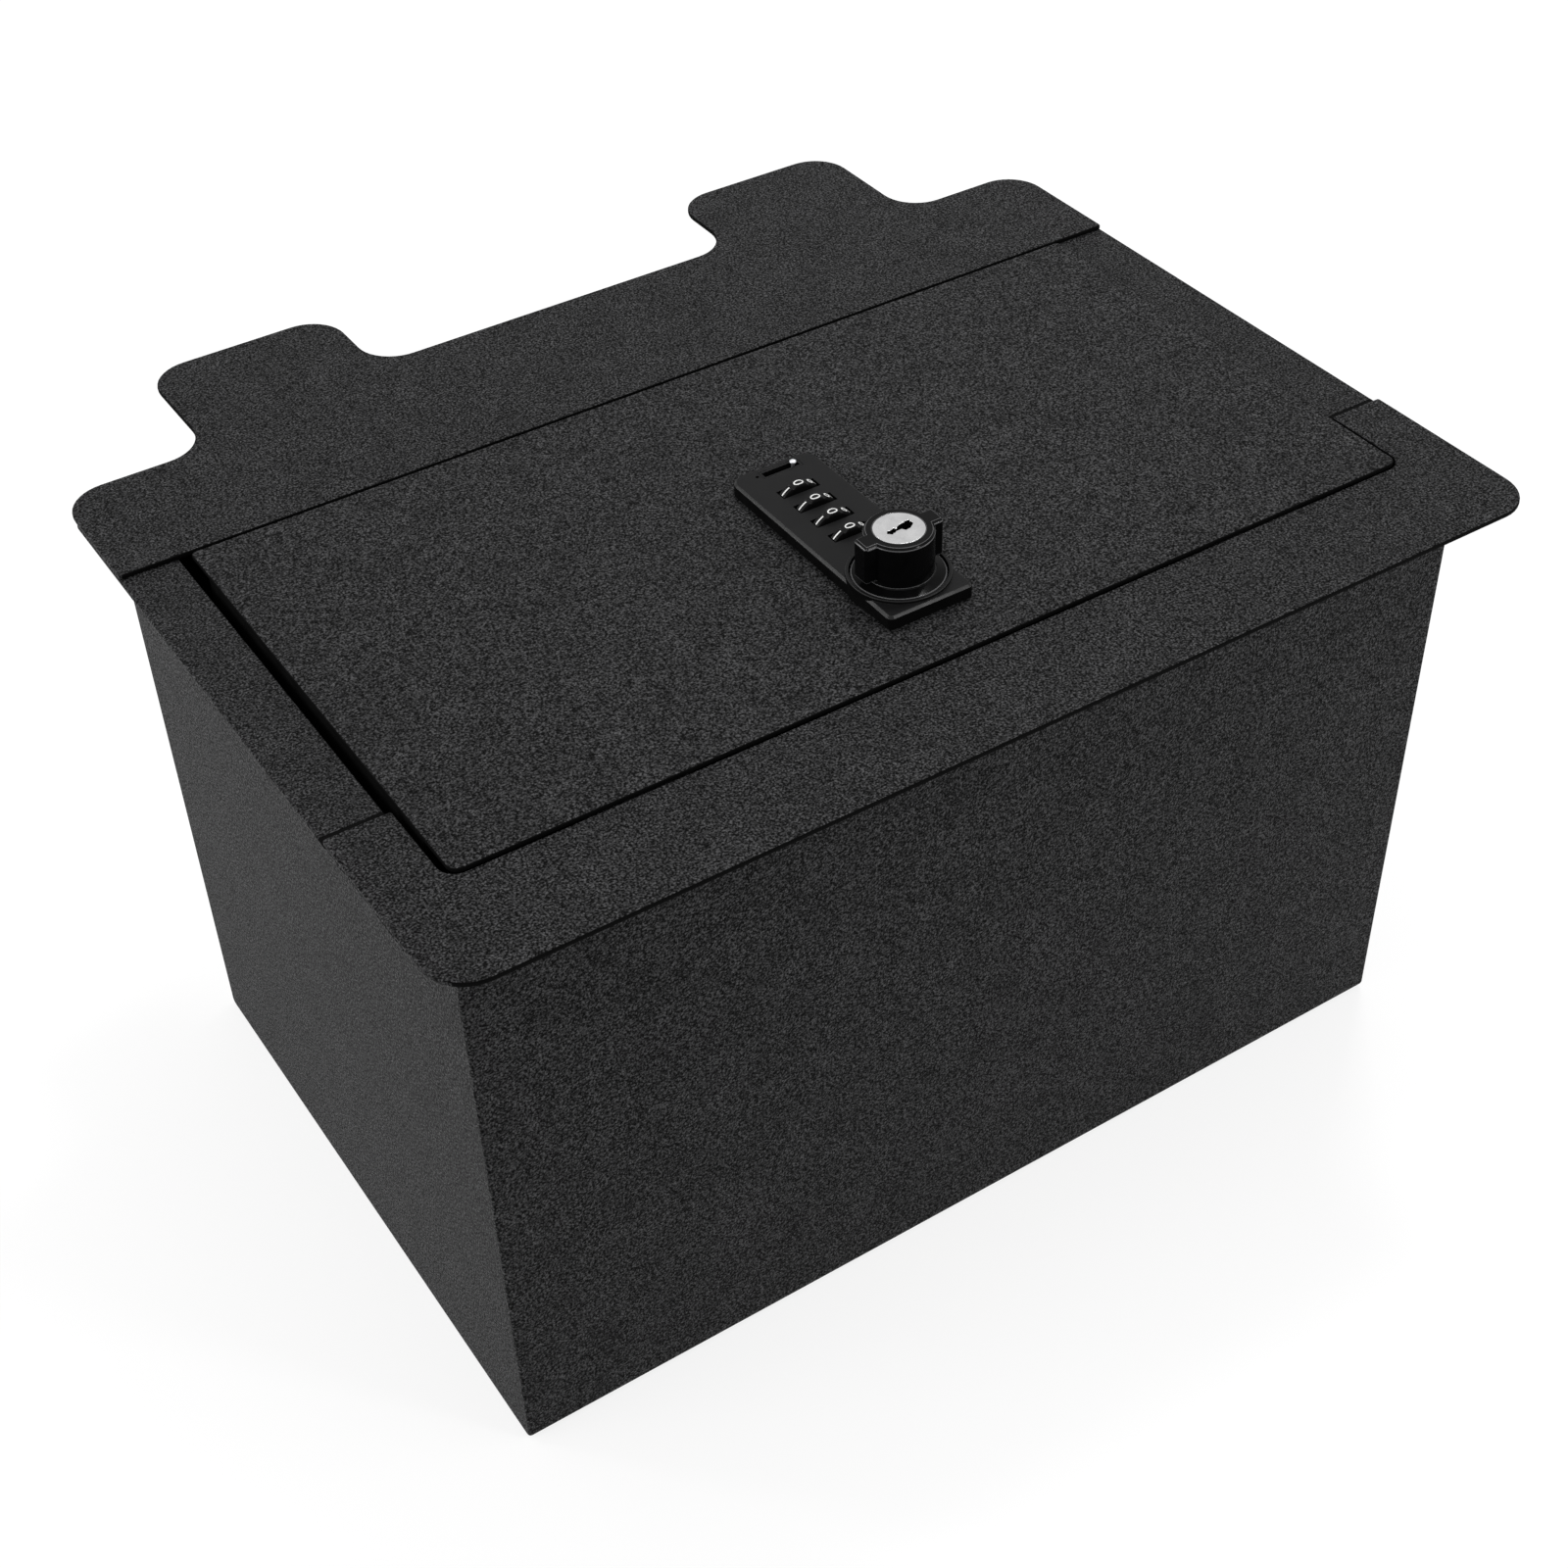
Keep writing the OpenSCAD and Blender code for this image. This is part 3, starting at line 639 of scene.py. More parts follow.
@dataclass(frozen=True)
class BlackEnamel(Finish):
    """Smooth black finish of a casting or a moulding."""

    colour: Colour = (0.018, 0.018, 0.019)
    rough: float = 0.42
    specular: float = 0.4
    peel: float = 0.006
    scale: float = 1.0

    def dress(self, w: Wiring, place: Socket) -> dict:
        """Wire smudges to roughness, dust to colour and orange peel to the normal.

        Args:
            w: the material's wiring.
            place: the Object coordinates.

        Returns:
            What feeds the Principled node.
        """
        marks = self.group(w, "handling_marks", {"Vector": place, "Scale": self.scale})
        smudge, speck = marks["Smudge"], marks["Speck"]
        dusty = tuple(c * 1.5 + 0.002 for c in self.colour)
        soft, hard = w.math("MULTIPLY", smudge, 0.3), w.math("MULTIPLY", speck, 0.5)
        dust = w.math("ADD", soft, hard, clamp=True)
        return {
            "Base Color": w.blend(dust, self.colour, dusty),
            "Roughness": w.remap(smudge, (0.0, 1.0), (self.rough - 0.03, self.rough + 0.06)),
            "Specular IOR Level": self.specular,
            "Normal": self.emboss(w, marks["Peel"], self.peel, 0.5),
        }


@dataclass(frozen=True)
class PlatedSteel(Finish):
    """Zinc-plated or bright steel, with faint grain and dull patches."""

    bright: Colour = (0.62, 0.63, 0.65)
    dull: Colour = (0.42, 0.43, 0.45)
    rough: Range = (0.28, 0.45)
    scale: float = 1.2

    def dress(self, w: Wiring, place: Socket) -> dict:
        """Wire patches to colour and roughness, and a fine grain to the normal.

        Args:
            w: the material's wiring.
            place: the Object coordinates.

        Returns:
            What feeds the Principled node.
        """
        marks = self.group(w, "handling_marks", {"Vector": place, "Scale": self.scale})
        smudge = marks["Smudge"]
        return {
            "Metallic": 1.0,
            "Base Color": w.blend(smudge, self.bright, self.dull),
            "Roughness": w.remap(smudge, (0.0, 1.0), self.rough),
            "Normal": self.emboss(w, marks["Peel"], 0.01, 0.4),
        }


@dataclass(frozen=True)
class TurnedChrome(Finish):
    """Satin chrome with rings left by turning, about a vertical axis."""

    axis: Range = (0.0, 0.0)
    bright: Colour = (0.62, 0.62, 0.62)
    dull: Colour = (0.26, 0.26, 0.265)
    rough: Range = (0.24, 0.36)
    rings: float = 7000.0
    scale: float = 2.0

    def dress(self, w: Wiring, place: Socket) -> dict:
        """Wire rings to colour, roughness and normal.

        Args:
            w: the material's wiring.
            place: the Object coordinates.

        Returns:
            What feeds the Principled node.
        """
        centre = (self.axis[0] * MM, self.axis[1] * MM, 0.0)
        centred = w.node("ShaderNodeVectorMath", {0: place, 1: centre}, operation="SUBTRACT")
        turning = {"Vector": centred.outputs[0], "Rings": self.rings}
        ring = self.group(w, "turning_marks", turning)["Ring"]
        marks = self.group(w, "handling_marks", {"Vector": place, "Scale": self.scale})
        smudge = w.math("MULTIPLY", marks["Smudge"], 0.4)
        tone = w.math("ADD", w.math("MULTIPLY", ring, 0.5), smudge)
        return {
            "Metallic": 1.0,
            "Base Color": w.blend(tone, self.bright, self.dull),
            "Roughness": w.remap(tone, (0.2, 0.8), self.rough),
            "Normal": self.emboss(w, ring, 0.006, 0.5),
        }


@dataclass(frozen=True)
class NumberPaint(Finish):
    """White paint of the numbers."""

    colour: Colour = (0.78, 0.78, 0.77)
    rough: Range = (0.45, 0.6)

    def dress(self, w: Wiring, place: Socket) -> dict:
        """Wire faint wear to the colour and the roughness.

        Args:
            w: the material's wiring.
            place: the Object coordinates.

        Returns:
            What feeds the Principled node.
        """
        marks = self.group(w, "handling_marks", {"Vector": place, "Scale": 4.0})
        worn = tuple(c * 0.8 for c in self.colour)
        return {
            "Base Color": w.blend(marks["Smudge"], self.colour, worn),
            "Roughness": w.remap(marks["Peel"], (0.3, 0.7), self.rough),
        }


POWDER = PowderCoat("black_powder_coat", "powder_coat")
# Near-black painted shade on the sheets' cut edges and in the grooves where the front plate's arms
# end
EDGE_PAINTED_SHADE = BlackEnamel("painted_shade_on_edges", "powder_coat", (0.002, 0.002, 0.002), 0.7, 0.02, 0.01)
# Darkest copy of the black lock finish for faces that turn sideways: painted shade on the casting's
# sides, the wheels' flanks and the keyway's walls
SIDES_PAINTED_SHADE = BlackEnamel("black_lock_sides_painted_shade", "lock_casting", (0.002, 0.002, 0.002), 0.5, 0.03)
# Lighter, glossier copy of the casting for its chamfers: partly a real gloss, partly a painted
# highlight
RIM_PAINTED_HIGHLIGHT = BlackEnamel("black_lock_rim_painted_highlight", "lock_casting", (0.012, 0.012, 0.012), 0.28, 0.12)
# Light grey on the knob's chamfers and rounded edges: a painted highlight
KNOB_EDGE_PAINTED_HIGHLIGHT = BlackEnamel("painted_highlight_knob_edge", "knob_black", (0.060, 0.060, 0.062), 0.2, 0.4, 0.002)
SKIRT = BlackEnamel("polished_knob_skirt", "knob_black", (0.002, 0.002, 0.0021), 0.16, 0.035, 0.001)
CASTING = BlackEnamel("black_lock_casting", "lock_casting", (0.006, 0.006, 0.0062), 0.40, 0.06)
KNOB = BlackEnamel("gloss_black_knob", "knob_black", (0.002, 0.002, 0.0021), 0.12, 0.055, 0.002)
WHEEL = BlackEnamel(
    "moulded_black_wheel", "wheel_plastic", (0.005, 0.005, 0.005), 0.36, 0.07, 0.004, 2.0
)
RUBBER = BlackEnamel("black_rubber", "bumper_rubber", (0.022, 0.022, 0.022), 0.8, 0.2, 0.02)
PLATED = PlatedSteel("plated_steel", "plated_steel")
CHROME = TurnedChrome("turned_chrome", "plug_chrome", LOCK_AXIS)
NUMBERS = NumberPaint("number_paint", "wheel_plastic")

# Finishes of the faces whose normals lie between two slants: 0 is a side and 1 is a flat face
Bands = Sequence[tuple[Finish, float, float]]
# The sheets' edges take painted shade
SHEET_BANDS: Bands = ((EDGE_PAINTED_SHADE, 0.0, 0.75),)
# Casting: painted shade on its sides and a painted highlight on its chamfers
CASTING_BANDS: Bands = ((SIDES_PAINTED_SHADE, 0.0, 0.35), (RIM_PAINTED_HIGHLIGHT, 0.35, 0.9))
# Wheels: painted shade on their flat flanks
WHEEL_BANDS: Bands = ((SIDES_PAINTED_SHADE, 0.85, 1.1),)
# Knob: a painted highlight on its chamfers and on the wings' lower edges; the skirt's top takes its
# own glossier finish
KNOB_BANDS: Bands = ((KNOB_EDGE_PAINTED_HIGHLIGHT, 0.8, 0.955), (KNOB_EDGE_PAINTED_HIGHLIGHT, 0.2, 0.6), (SKIRT, 0.955, 0.98))
# Plug: painted shade on its sides and the keyway's walls
PLUG_BANDS: Bands = ((SIDES_PAINTED_SHADE, 0.0, 0.2),)


# ---- pieces ----


def add_piece(
    name: str,
    shape: Shape,
    body: str,
    finish: Finish,
    replaced: Sequence[str] = (),
    bands: Bands = (),
    reach: float = 1000.0,
    along: int = 2,
) -> None:
    """Turn a shape into a finished piece that rides on a body.

    Args:
        name: the piece's name.
        shape: its shape, which is used up.
        body: the CAD body it moves with.
        finish: its finish.
        replaced: the CAD nodes it stands for.
        bands: other finishes, each with the least and the most that a face's normal may point
            along an axis, either way, to take it.
        reach: faces further out than this along X keep the main finish.
        along: number of that axis, 0 to 2.
    """
    mesh = mesh_of(shape, name)
    mesh.materials.append(finish.material())
    for index, (other, least, most) in enumerate(bands, start=1):
        mesh.materials.append(other.material())
        for face in mesh.polygons:
            if least <= abs(face.normal[along]) < most and abs(face.center.x) < reach * MM:
                face.material_index = index
    piece = object_of(name, mesh)
    mesh.shade_smooth()
    mesh.set_sharp_from_angle(angle=SMOOTH_TO)
    weighted = piece.modifiers.new("even_normals", "WEIGHTED_NORMAL")
    weighted.keep_sharp = True
    settled = finished_mesh(piece)
    piece.modifiers.clear()
    piece.data = settled
    settled.name = name
    bpy.data.meshes.remove(mesh)
    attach(piece, body)
    if replaced:
        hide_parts(*replaced)
    log.info("%s on %s: %d faces", name, body, len(settled.polygons))


def add_copies(
    nodes: dict[str, float], body: str, finish: Finish = PLATED, ending: str = "plated"
) -> None:
    """Dress copies of CAD nodes, with their edges rounded.

    Args:
        nodes: name of each node and the width of its rounding.
        body: the CAD body that they move with.
        finish: their finish.
        ending: what their names add to the nodes' names.
    """
    for node, width in nodes.items():
        add_piece(f"{node}_{ending}", copy_of(node, width), body, finish, [node])


@dataclass
class BoxBody:
    """Welded box, its top flange in four pieces, and what is fixed under it."""

    half_w: float = 153.3
    front: float = -119.8
    rear: float = 82.5
    rim: float = 194.45
    wall: float = 1.5
    fold: float = 2.5
    edge: float = 0.8
    anchor_x: float = 100.0
    anchor_y: float = 60.0
    anchor_r: float = 4.25
    plate_low: float = 194.5
    plate_high: float = 196.0
    flange_half_w: float = 164.0
    front_edge: float = -139.0
    arm_end: float = -77.5
    bay_half_w: float = 146.3
    bay_front: float = -105.7
    rear_plate_front: float = 47.5
    rear_ends: float = 91.5
    rear_middle: float = 104.5
    tab_end: float = 139.0
    tab_outer: float = 120.0
    tab_inner: float = 61.5
    corner: float = 12.0
    soft: float = 0.45
    dark_edge_reach: float = 161.0
    cut_corner: float = 0.8
    bay_corner: float = 5.0
    flange_inner: float = 147.3
    flange_front: float = -118.3
    flange_rear: float = 79.0
    seam: float = 2.6
    seam_lead: float = 1.5
    seam_depth: float = 0.7
    # Span of the near-black strip of painted shade in the groove at each arm's end
    filler_inner: float = 147.45
    filler_outer: float = 163.85
    filler_drop: float = 0.03

    def build(self) -> None:
        """Build and dress every piece of the box."""
        add_piece("box_shell", self.shell(), "box", POWDER, ["box_wrap", "left_side", "right_side"])
        self.add_sheet("front_top_plate", self.front_plate(), "front_plate")
        self.add_sheet("rear_top_plate", self.rear_plate(), "rear_plate")
        for side, name in ((-1, "left"), (1, "right")):
            self.add_sheet(f"{name}_side_flange", self.side_flange(side), f"{name}_flange")
            # A near-black strip of painted shade in the groove at the end of each arm
            add_piece(f"{name}_arm_seam", self.arm_seam(side), "box", EDGE_PAINTED_SHADE)
        formed = {"hinge_rail": 0.35, "strike_bracket": 0.4, "lid_stops": 0.35}
        add_copies(formed, "box", POWDER, "formed")
        add_copies({"stop_bumpers": 0.3}, "box", RUBBER, "moulded")

    def add_sheet(self, name: str, shape: Shape, node: str) -> None:
        """Dress one sheet of the flange, with painted shade on its edges except at its outer sides.
        """
        add_piece(name, shape, "box", POWDER, [node], SHEET_BANDS, self.dark_edge_reach)

    def shell(self) -> Shape:
        """Make the folded and welded box with its four anchor holes.

        Returns:
            The closed shape.
        """
        outer = block((-self.half_w, self.front, 0), (self.half_w, self.rear, self.rim))
        folds = [e for e in outer.edges if self.along_x(e) and e.verts[0].co.z < MM]
        round_over(outer, folds, self.fold, 6, "EDGES")
        soften(outer, self.edge, 3, chosen=self.below_rim)
        low = (-self.half_w + self.wall, self.front + self.wall, self.wall)
        high = (self.half_w - self.wall, self.rear - self.wall, self.rim + 5)
        inner = block(low, high)
        folds = [e for e in inner.edges if self.along_x(e) and e.verts[0].co.z < 2 * self.wall * MM]
        round_over(inner, folds, self.fold - self.wall, 4, "EDGES")
        middle_y = (self.front + self.rear) / 2
        holes = [
            bar((x, middle_y + y, 0), self.anchor_r, 8, sides=48)
            for x in (-self.anchor_x, self.anchor_x)
            for y in (-self.anchor_y, self.anchor_y)
        ]
        return carve(outer, inner, together(holes))

    @staticmethod
    def along_x(edge: bmesh.types.BMEdge) -> bool:
        """Say whether an edge runs along X."""
        return abs(edge.verts[0].co.x - edge.verts[1].co.x) > 10 * MM

    def below_rim(self, edge: bmesh.types.BMEdge) -> bool:
        """Say whether an edge runs along Z or lies below the box's rim."""
        heights = [v.co.z for v in edge.verts]
        return max(heights) < (self.rim - 1) * MM or max(heights) - min(heights) > 10 * MM

    def front_plate(self) -> Shape:
        """Make the front plate with its two arms beside the lid.

        Returns:
            The closed sheet.
        """
        w, b, r = self.flange_half_w, self.bay_half_w, self.corner
        corners = [
            (-w, self.front_edge, r), (w, self.front_edge, r),
            (w, self.arm_end, self.cut_corner), (b, self.arm_end, self.cut_corner),
            (b, self.bay_front, self.bay_corner), (-b, self.bay_front, self.bay_corner),
            (-b, self.arm_end, self.cut_corner), (-w, self.arm_end, self.cut_corner),
        ]
        return soften(sheet(corners, self.plate_low, self.plate_high), self.soft)

    def rear_plate(self) -> Shape:
        """Make the rear plate with its two rounded tabs.

        Returns:
            The closed sheet.
        """
        w, r = self.flange_half_w, self.corner
        right = [
            (w, self.rear_plate_front, self.cut_corner),
            (w, self.rear_ends, r),
            (self.tab_outer, self.rear_ends, r),
            (self.tab_outer, self.tab_end, r),
            (self.tab_inner, self.tab_end, r),
            (self.tab_inner, self.rear_middle, r),
        ]
        left = [(-x, y, radius) for x, y, radius in reversed(right)]
        return soften(sheet(right + left, self.plate_low, self.plate_high), self.soft)

    def side_flange(self, side: int) -> Shape:
        """Make the flange beside the lid, one sheet lower than the plates.

        Args:
            side: -1 for the left and 1 for the right.

        Returns:
            The closed flange.
        """
        x = sorted((side * self.flange_inner, side * self.flange_half_w))
        low = (x[0], self.flange_front, self.plate_low - self.wall)
        flange = soften(block(low, (x[1], self.flange_rear, self.plate_low)), self.soft)
        near, far = self.arm_end - self.seam_lead, self.arm_end + self.seam
        foot = self.plate_low - self.seam_depth
        return carve(flange, block((x[0] - 1, near, foot), (x[1] + 1, far, self.plate_low + 1)))

    def arm_seam(self, side: int) -> Shape:
        """Make the dark strip of painted shade in the groove where an arm of the front plate ends,
        standing in for the shadow in a hairline gap.

        Args:
            side: -1 for the left and 1 for the right.

        Returns:
            The closed strip of painted shade.
        """
        x = sorted((side * self.filler_inner, side * self.filler_outer))
        low = (x[0], self.arm_end - self.seam_lead + 0.1, self.plate_low - self.seam_depth + 0.02)
        high = (x[1], self.arm_end + self.seam - 0.02, self.plate_low - self.filler_drop)
        return soften(block(low, high), 0.1, 1)


@dataclass
class Hinge:
    """Continuous hinge: two leaves, a pin and rivets."""

    edge: float = 0.12

    def build(self) -> None:
        """Dress the hinge's pieces."""
        fixed = ("hinge_fixed_leaf", "hinge_pin", "hinge_rivets")
        add_copies(dict.fromkeys(fixed, self.edge), "box")
        add_copies({"lid_hinge_leaf": self.edge}, "lid")


@dataclass
class Lid:
    """Lid panel with its two stiffening folds and the cut-out for the lock."""

    half_w: float = 144.8
    front: float = -105.3
    rear: float = 45.2
    low: float = 195.5
    high: float = 197.0
    wall: float = 1.5
    fold_foot: float = 187.5
    fold_front: float = -91.3
    fold_rear: float = 33.2
    cutout: tuple[float, float, float, float] = (-9.4, -87.1, 10.2, -13.3)
    front_corner: float = 3.0
    rear_corner: float = 1.5
    soft: float = 0.5

    def build(self) -> None:
        """Build and dress the lid."""
        w, a, b = self.half_w, self.front_corner, self.rear_corner
        corners = [(-w, self.front, a), (w, self.front, a), (w, self.rear, b), (-w, self.rear, b)]
        panel = sheet(corners, self.low, self.high)
        x0, y0, x1, y1 = self.cutout
        panel = carve(panel, block((x0, y0, self.low - 3), (x1, y1, self.high + 3)))
        for side in (-1, 1):
            x = sorted((side * self.half_w, side * (self.half_w - self.wall)))
            low = (x[0], self.fold_front, self.fold_foot)
            panel = fuse(panel, block(low, (x[1], self.fold_rear, self.low + 0.7)))
        panel = soften(merge_flats(panel), self.soft)
        add_piece("lid_sheet", panel, "lid", POWDER, ["lid_panel"], bands=SHEET_BANDS)


@dataclass
class LockCase:
    """Escutcheon on the lid and the works that hang under it."""

    x: float = LOCK_AXIS[0]
    half_w: float = 13.1
    front: float = -88.8
    rear: float = -12.6
    foot: float = 197.0
    top: float = 201.0
    chamfer: float = 0.7
    boss_r: float = 13.8
    boss_top: float = 202.0
    well_r: float = 12.9
    well_floor: float = 199.0
    well_fillet: float = 0.4
    bore_r: float = 6.05
    knob_y: float = LOCK_AXIS[1]
    front_corner: float = 1.5
    rear_corner: float = 4.0
    window_r: float = 7.4
    window_w: float = 3.9
    window_half: float = 5.87
    pocket_half_w: float = 7.5
    pocket_roof: float = 198.3
    slot: tuple[float, float, float, float] = (-3.9, -17.515, 7.2, -15.415)
    ring_inner: float = 0.55
    ring_outer: float = 0.9
    ring_depth: float = 0.2
    reset_x: float = -5.7
    reset_y: float = -16.215

    def build(self) -> None:
        """Build and dress the lock's fixed pieces."""
        plate, node = self.escutcheon(), "lock_escutcheon"
        add_piece("escutcheon_cast", plate, "lid", CASTING, [node], bands=CASTING_BANDS)
        add_copies({"lock_housing": 0.25}, "lid", CASTING, "cast")
        add_copies({"wheel_axle": 0.15, "detent_spring": 0.0, "lock_screws": 0.12}, "lid")

    def escutcheon(self) -> Shape:
        """Make the escutcheon with its boss, well, wheel windows, code slot and reset hole.

        Returns:
            The closed shape.
        """
        x, left, right = self.x, self.x - self.half_w, self.x + self.half_w
        a, b = self.front_corner, self.rear_corner
        corners = [
            (left, self.front, a), (right, self.front, a),
            (right, self.rear, b), (left, self.rear, b),
        ]
        plate = sheet(corners, self.foot, self.top)
        soften(plate, self.chamfer, 1, chosen=self.on_top)
        rise = (self.foot + self.boss_top) / 2
        boss = bar((x, self.knob_y, rise), self.boss_r, self.boss_top - self.foot, sides=128)
        soften(boss, 0.25, 2)
        plate = fuse(plate, boss)
        bore = bar((x, self.knob_y, self.foot), self.bore_r, 12)
        reset = bar((self.reset_x, self.reset_y, self.top), 0.5, 2.4, sides=32)
        slot, ring = self.code_slot()
        plate = carve(plate, self.well(), bore, self.pocket(), self.windows(), ring, slot, reset)
        return soften(merge_flats(plate), 0.1, 2)

    def on_top(self, edge: bmesh.types.BMEdge) -> bool:
        """Say whether an edge lies in the plate's upper face."""
        return min(v.co.z for v in edge.verts) > (self.top - 0.1) * MM

    def well(self) -> Shape:
        """Make the round space that the knob's skirt turns in.

        Returns:
            The closed shape, open to above.
        """
        r, floor, c, sky = self.well_r, self.well_floor, self.well_fillet, self.boss_top + 1
        profile = [(0, floor), (r - c, floor), (r, floor + c), (r, sky), (0, sky)]
        return turned(profile, (self.x, self.knob_y), 128)

    def windows(self) -> Shape:
        """Make the spaces that the wheels turn in, with their openings.

        Returns:
            The four spaces in one shape.
        """
        made = []
        for y in WHEEL_ROW:
            across = self.window_w / 2
            low = (self.x - self.window_half, y - across, self.pocket_roof - 0.2)
            high = (self.x + self.window_half, y + across, self.top + 1)
            turning = bar((self.x, y, WHEEL_Z), self.window_r, self.window_w, Axis.Y, 96)
            made.append(fuse(turning, block(low, high)))
        return together(made)

    def pocket(self) -> Shape:
        """Make the pocket under the plate that all four wheels share.

        Returns:
            The closed block.
        """
        half = (WHEEL_ROW[0] - WHEEL_ROW[1]) / 2 + 0.1
        low = (self.x - self.pocket_half_w, WHEEL_ROW[-1] - half, self.foot - 1)
        high = (self.x + self.pocket_half_w, WHEEL_ROW[0] + half, self.pocket_roof)
        return block(low, high)

    def code_slot(self) -> tuple[Shape, Shape]:
        """Make the slot of the code slider and the engraved line round it.

        Returns:
            The slot and the line, each as a closed shape.
        """
        left, near, right, far = self.slot
        a, b = self.ring_outer, self.ring_inner
        foot = self.top - self.ring_depth
        outer = block((left - a, near - a, foot), (right + a, far + a, self.top + 1))
        inner = block((left - b, near - b, self.foot), (right + b, far + b, self.top + 2))
        slot = block((left, near, self.foot - 1), (right, far, self.top + 1))
        return slot, carve(outer, inner)


@dataclass
class NumberWheels:
    """Four number wheels with plain white numbers round their rims."""

    x: float = LOCK_AXIS[0]
    radius: float = 7.1
    edge: float = 0.12
    number_h: float = 2.95
    number_w: float = 2.15
    number_t: float = 0.1
    number_sink: float = 0.07
    widest: float = 1.15
    thinning: float = 0.006
    slice_h: float = 0.3
    count: int = 10

    def build(self) -> None:
        """Build and dress the wheels and their numbers."""
        for i, y in enumerate(WHEEL_ROW, start=1):
            node, body = f"number_wheel_{i}", f"wheel_{i}"
            wheel = copy_of(node, self.edge)
            add_piece(f"{body}_moulded", wheel, body, WHEEL, [node], bands=WHEEL_BANDS, along=1)
            numbers = together([self.number(n, y) for n in range(self.count)])
            add_piece(f"{body}_numbers", numbers, body, NUMBERS)

    def number(self, value: int, y: float) -> Shape:
        """Make one number, bent onto the rim.

        Args:
            value: the number, 0 to 9.
            y: middle of the wheel along the lock.

        Returns:
            The thin raised number.
        """
        shape = self.outline(str(value))
        xs, ys = [v.co.x for v in shape.verts], [v.co.y for v in shape.verts]
        middle = Vector(((min(xs) + max(xs)) / 2, (min(ys) + max(ys)) / 2, 0))
        bmesh.ops.translate(shape, vec=-middle, verts=shape.verts)
        tall = self.number_h / (max(ys) - min(ys)) * MM
        wide = min(tall * self.widest, self.number_w / (max(xs) - min(xs)) * MM)
        bmesh.ops.scale(shape, vec=(wide, tall, 1), verts=shape.verts)
        for step in range(-5, 6):
            bmesh.ops.bisect_plane(
                shape, geom=shape.verts[:] + shape.edges[:] + shape.faces[:],
                plane_co=(0, step * self.slice_h * MM, 0), plane_no=(0, 1, 0),
            )
        thicken(shape, self.number_t)
        for v in shape.verts:
            turn = -v.co.y / (self.radius * MM) - value * math.tau / self.count
            out = (self.radius - self.number_sink) * MM + v.co.z
            x, z = self.x * MM + out * math.sin(turn), WHEEL_Z * MM + out * math.cos(turn)
            v.co = Vector((x, y * MM + v.co.x, z))
        return shape

    def outline(self, text: str) -> Shape:
        """Make a flat text in the built-in type.

        Args:
            text: what it says.

        Returns:
            Its faces, in the XY plane.
        """
        curve = bpy.data.curves.new("number", "FONT")
        curve.body = text
        curve.resolution_u = 4
        curve.offset = -self.thinning
        item = object_of("number", curve)
        flat = finished_mesh(item)
        bpy.data.objects.remove(item)
        bpy.data.curves.remove(curve)
        shape = bmesh.new()
        shape.from_mesh(flat)
        bpy.data.meshes.remove(flat)
        bmesh.ops.remove_doubles(shape, verts=shape.verts, dist=1e-5)
        return shape


@dataclass
class CodeSlider:
    """Small plated slider that opens the lock for a new code."""

    def build(self) -> None:
        """Dress the slider."""
        node = "code_change_slider"
        add_piece("code_slider_plated", copy_of(node, 0.1), "slider", PLATED, [node])


@dataclass
class TurnKnob:
    """Knob with two wings, and the spindle, cam and fixings that turn with it."""

    axis: Range = LOCK_AXIS
    skirt_r: float = 12.6
    skirt_low: float = 199.3
    skirt_top: float = 201.6
    barrel_foot: float = 202.4
    barrel_r: float = 9.3
    top: float = LOCK_TOP
    chamfer: float = 0.75
    edge: float = 0.17
    wing_reach: float = 12.15
    wing_half: float = 2.95
    wing_foot: float = 203.3
    head_r: float = 6.85
    head_t: float = 1.6
    bore_r: float = 5.45
    bore_foot: float = 203.5
    stem_r: float = 6.0
    stem_foot: float = 194.0
    socket_half: float = 2.55
    socket_depth: float = 5.0

    def build(self) -> None:
        """Build and dress the knob and what it turns."""
        add_piece("knob_moulded", self.knob(), "knob", KNOB, ["turn_knob"], bands=KNOB_BANDS)
        turning = {"lock_spindle": 0.2, "latch_cam": 0.3, "cam_washer": 0.12, "cam_screw": 0.15}
        add_copies(turning, "knob")

    def knob(self) -> Shape:
        """Make the knob: skirt, barrel, two wings, plug seat and stem.

        Returns:
            The closed shape.
        """
        (x, y), c, top, foot = self.axis, self.chamfer, self.top, self.stem_foot
        outside = [
            (0, foot), (self.stem_r, foot),
            (self.stem_r, self.skirt_low), (self.skirt_r, self.skirt_low),
            (self.skirt_r, self.skirt_top - 0.3), (self.skirt_r - 0.3, self.skirt_top),
            (self.barrel_r + 0.35, self.barrel_foot - 0.08),
            (self.barrel_r, self.barrel_foot + 0.2),
            (self.barrel_r, top - c), (self.barrel_r - c, top), (0, top),
        ]
        low = (x - self.wing_reach, y - self.wing_half, self.wing_foot)
        wings = block(low, (x + self.wing_reach, y + self.wing_half, top))
        knob = fuse(turned(outside, self.axis, 128), soften(wings, c, 1))
        shoulder = top - self.head_t
        inside = [
            (0, self.bore_foot), (self.bore_r, self.bore_foot), (self.bore_r, shoulder),
            (self.head_r, shoulder), (self.head_r, top + 1), (0, top + 1),
        ]
        half = self.socket_half
        low, high = (x - half, y - half, foot - 1), (x + half, y + half, foot + self.socket_depth)
        knob = carve(knob, turned(inside, self.axis, 96), block(low, high))
        return soften(merge_flats(knob), self.edge, 2)


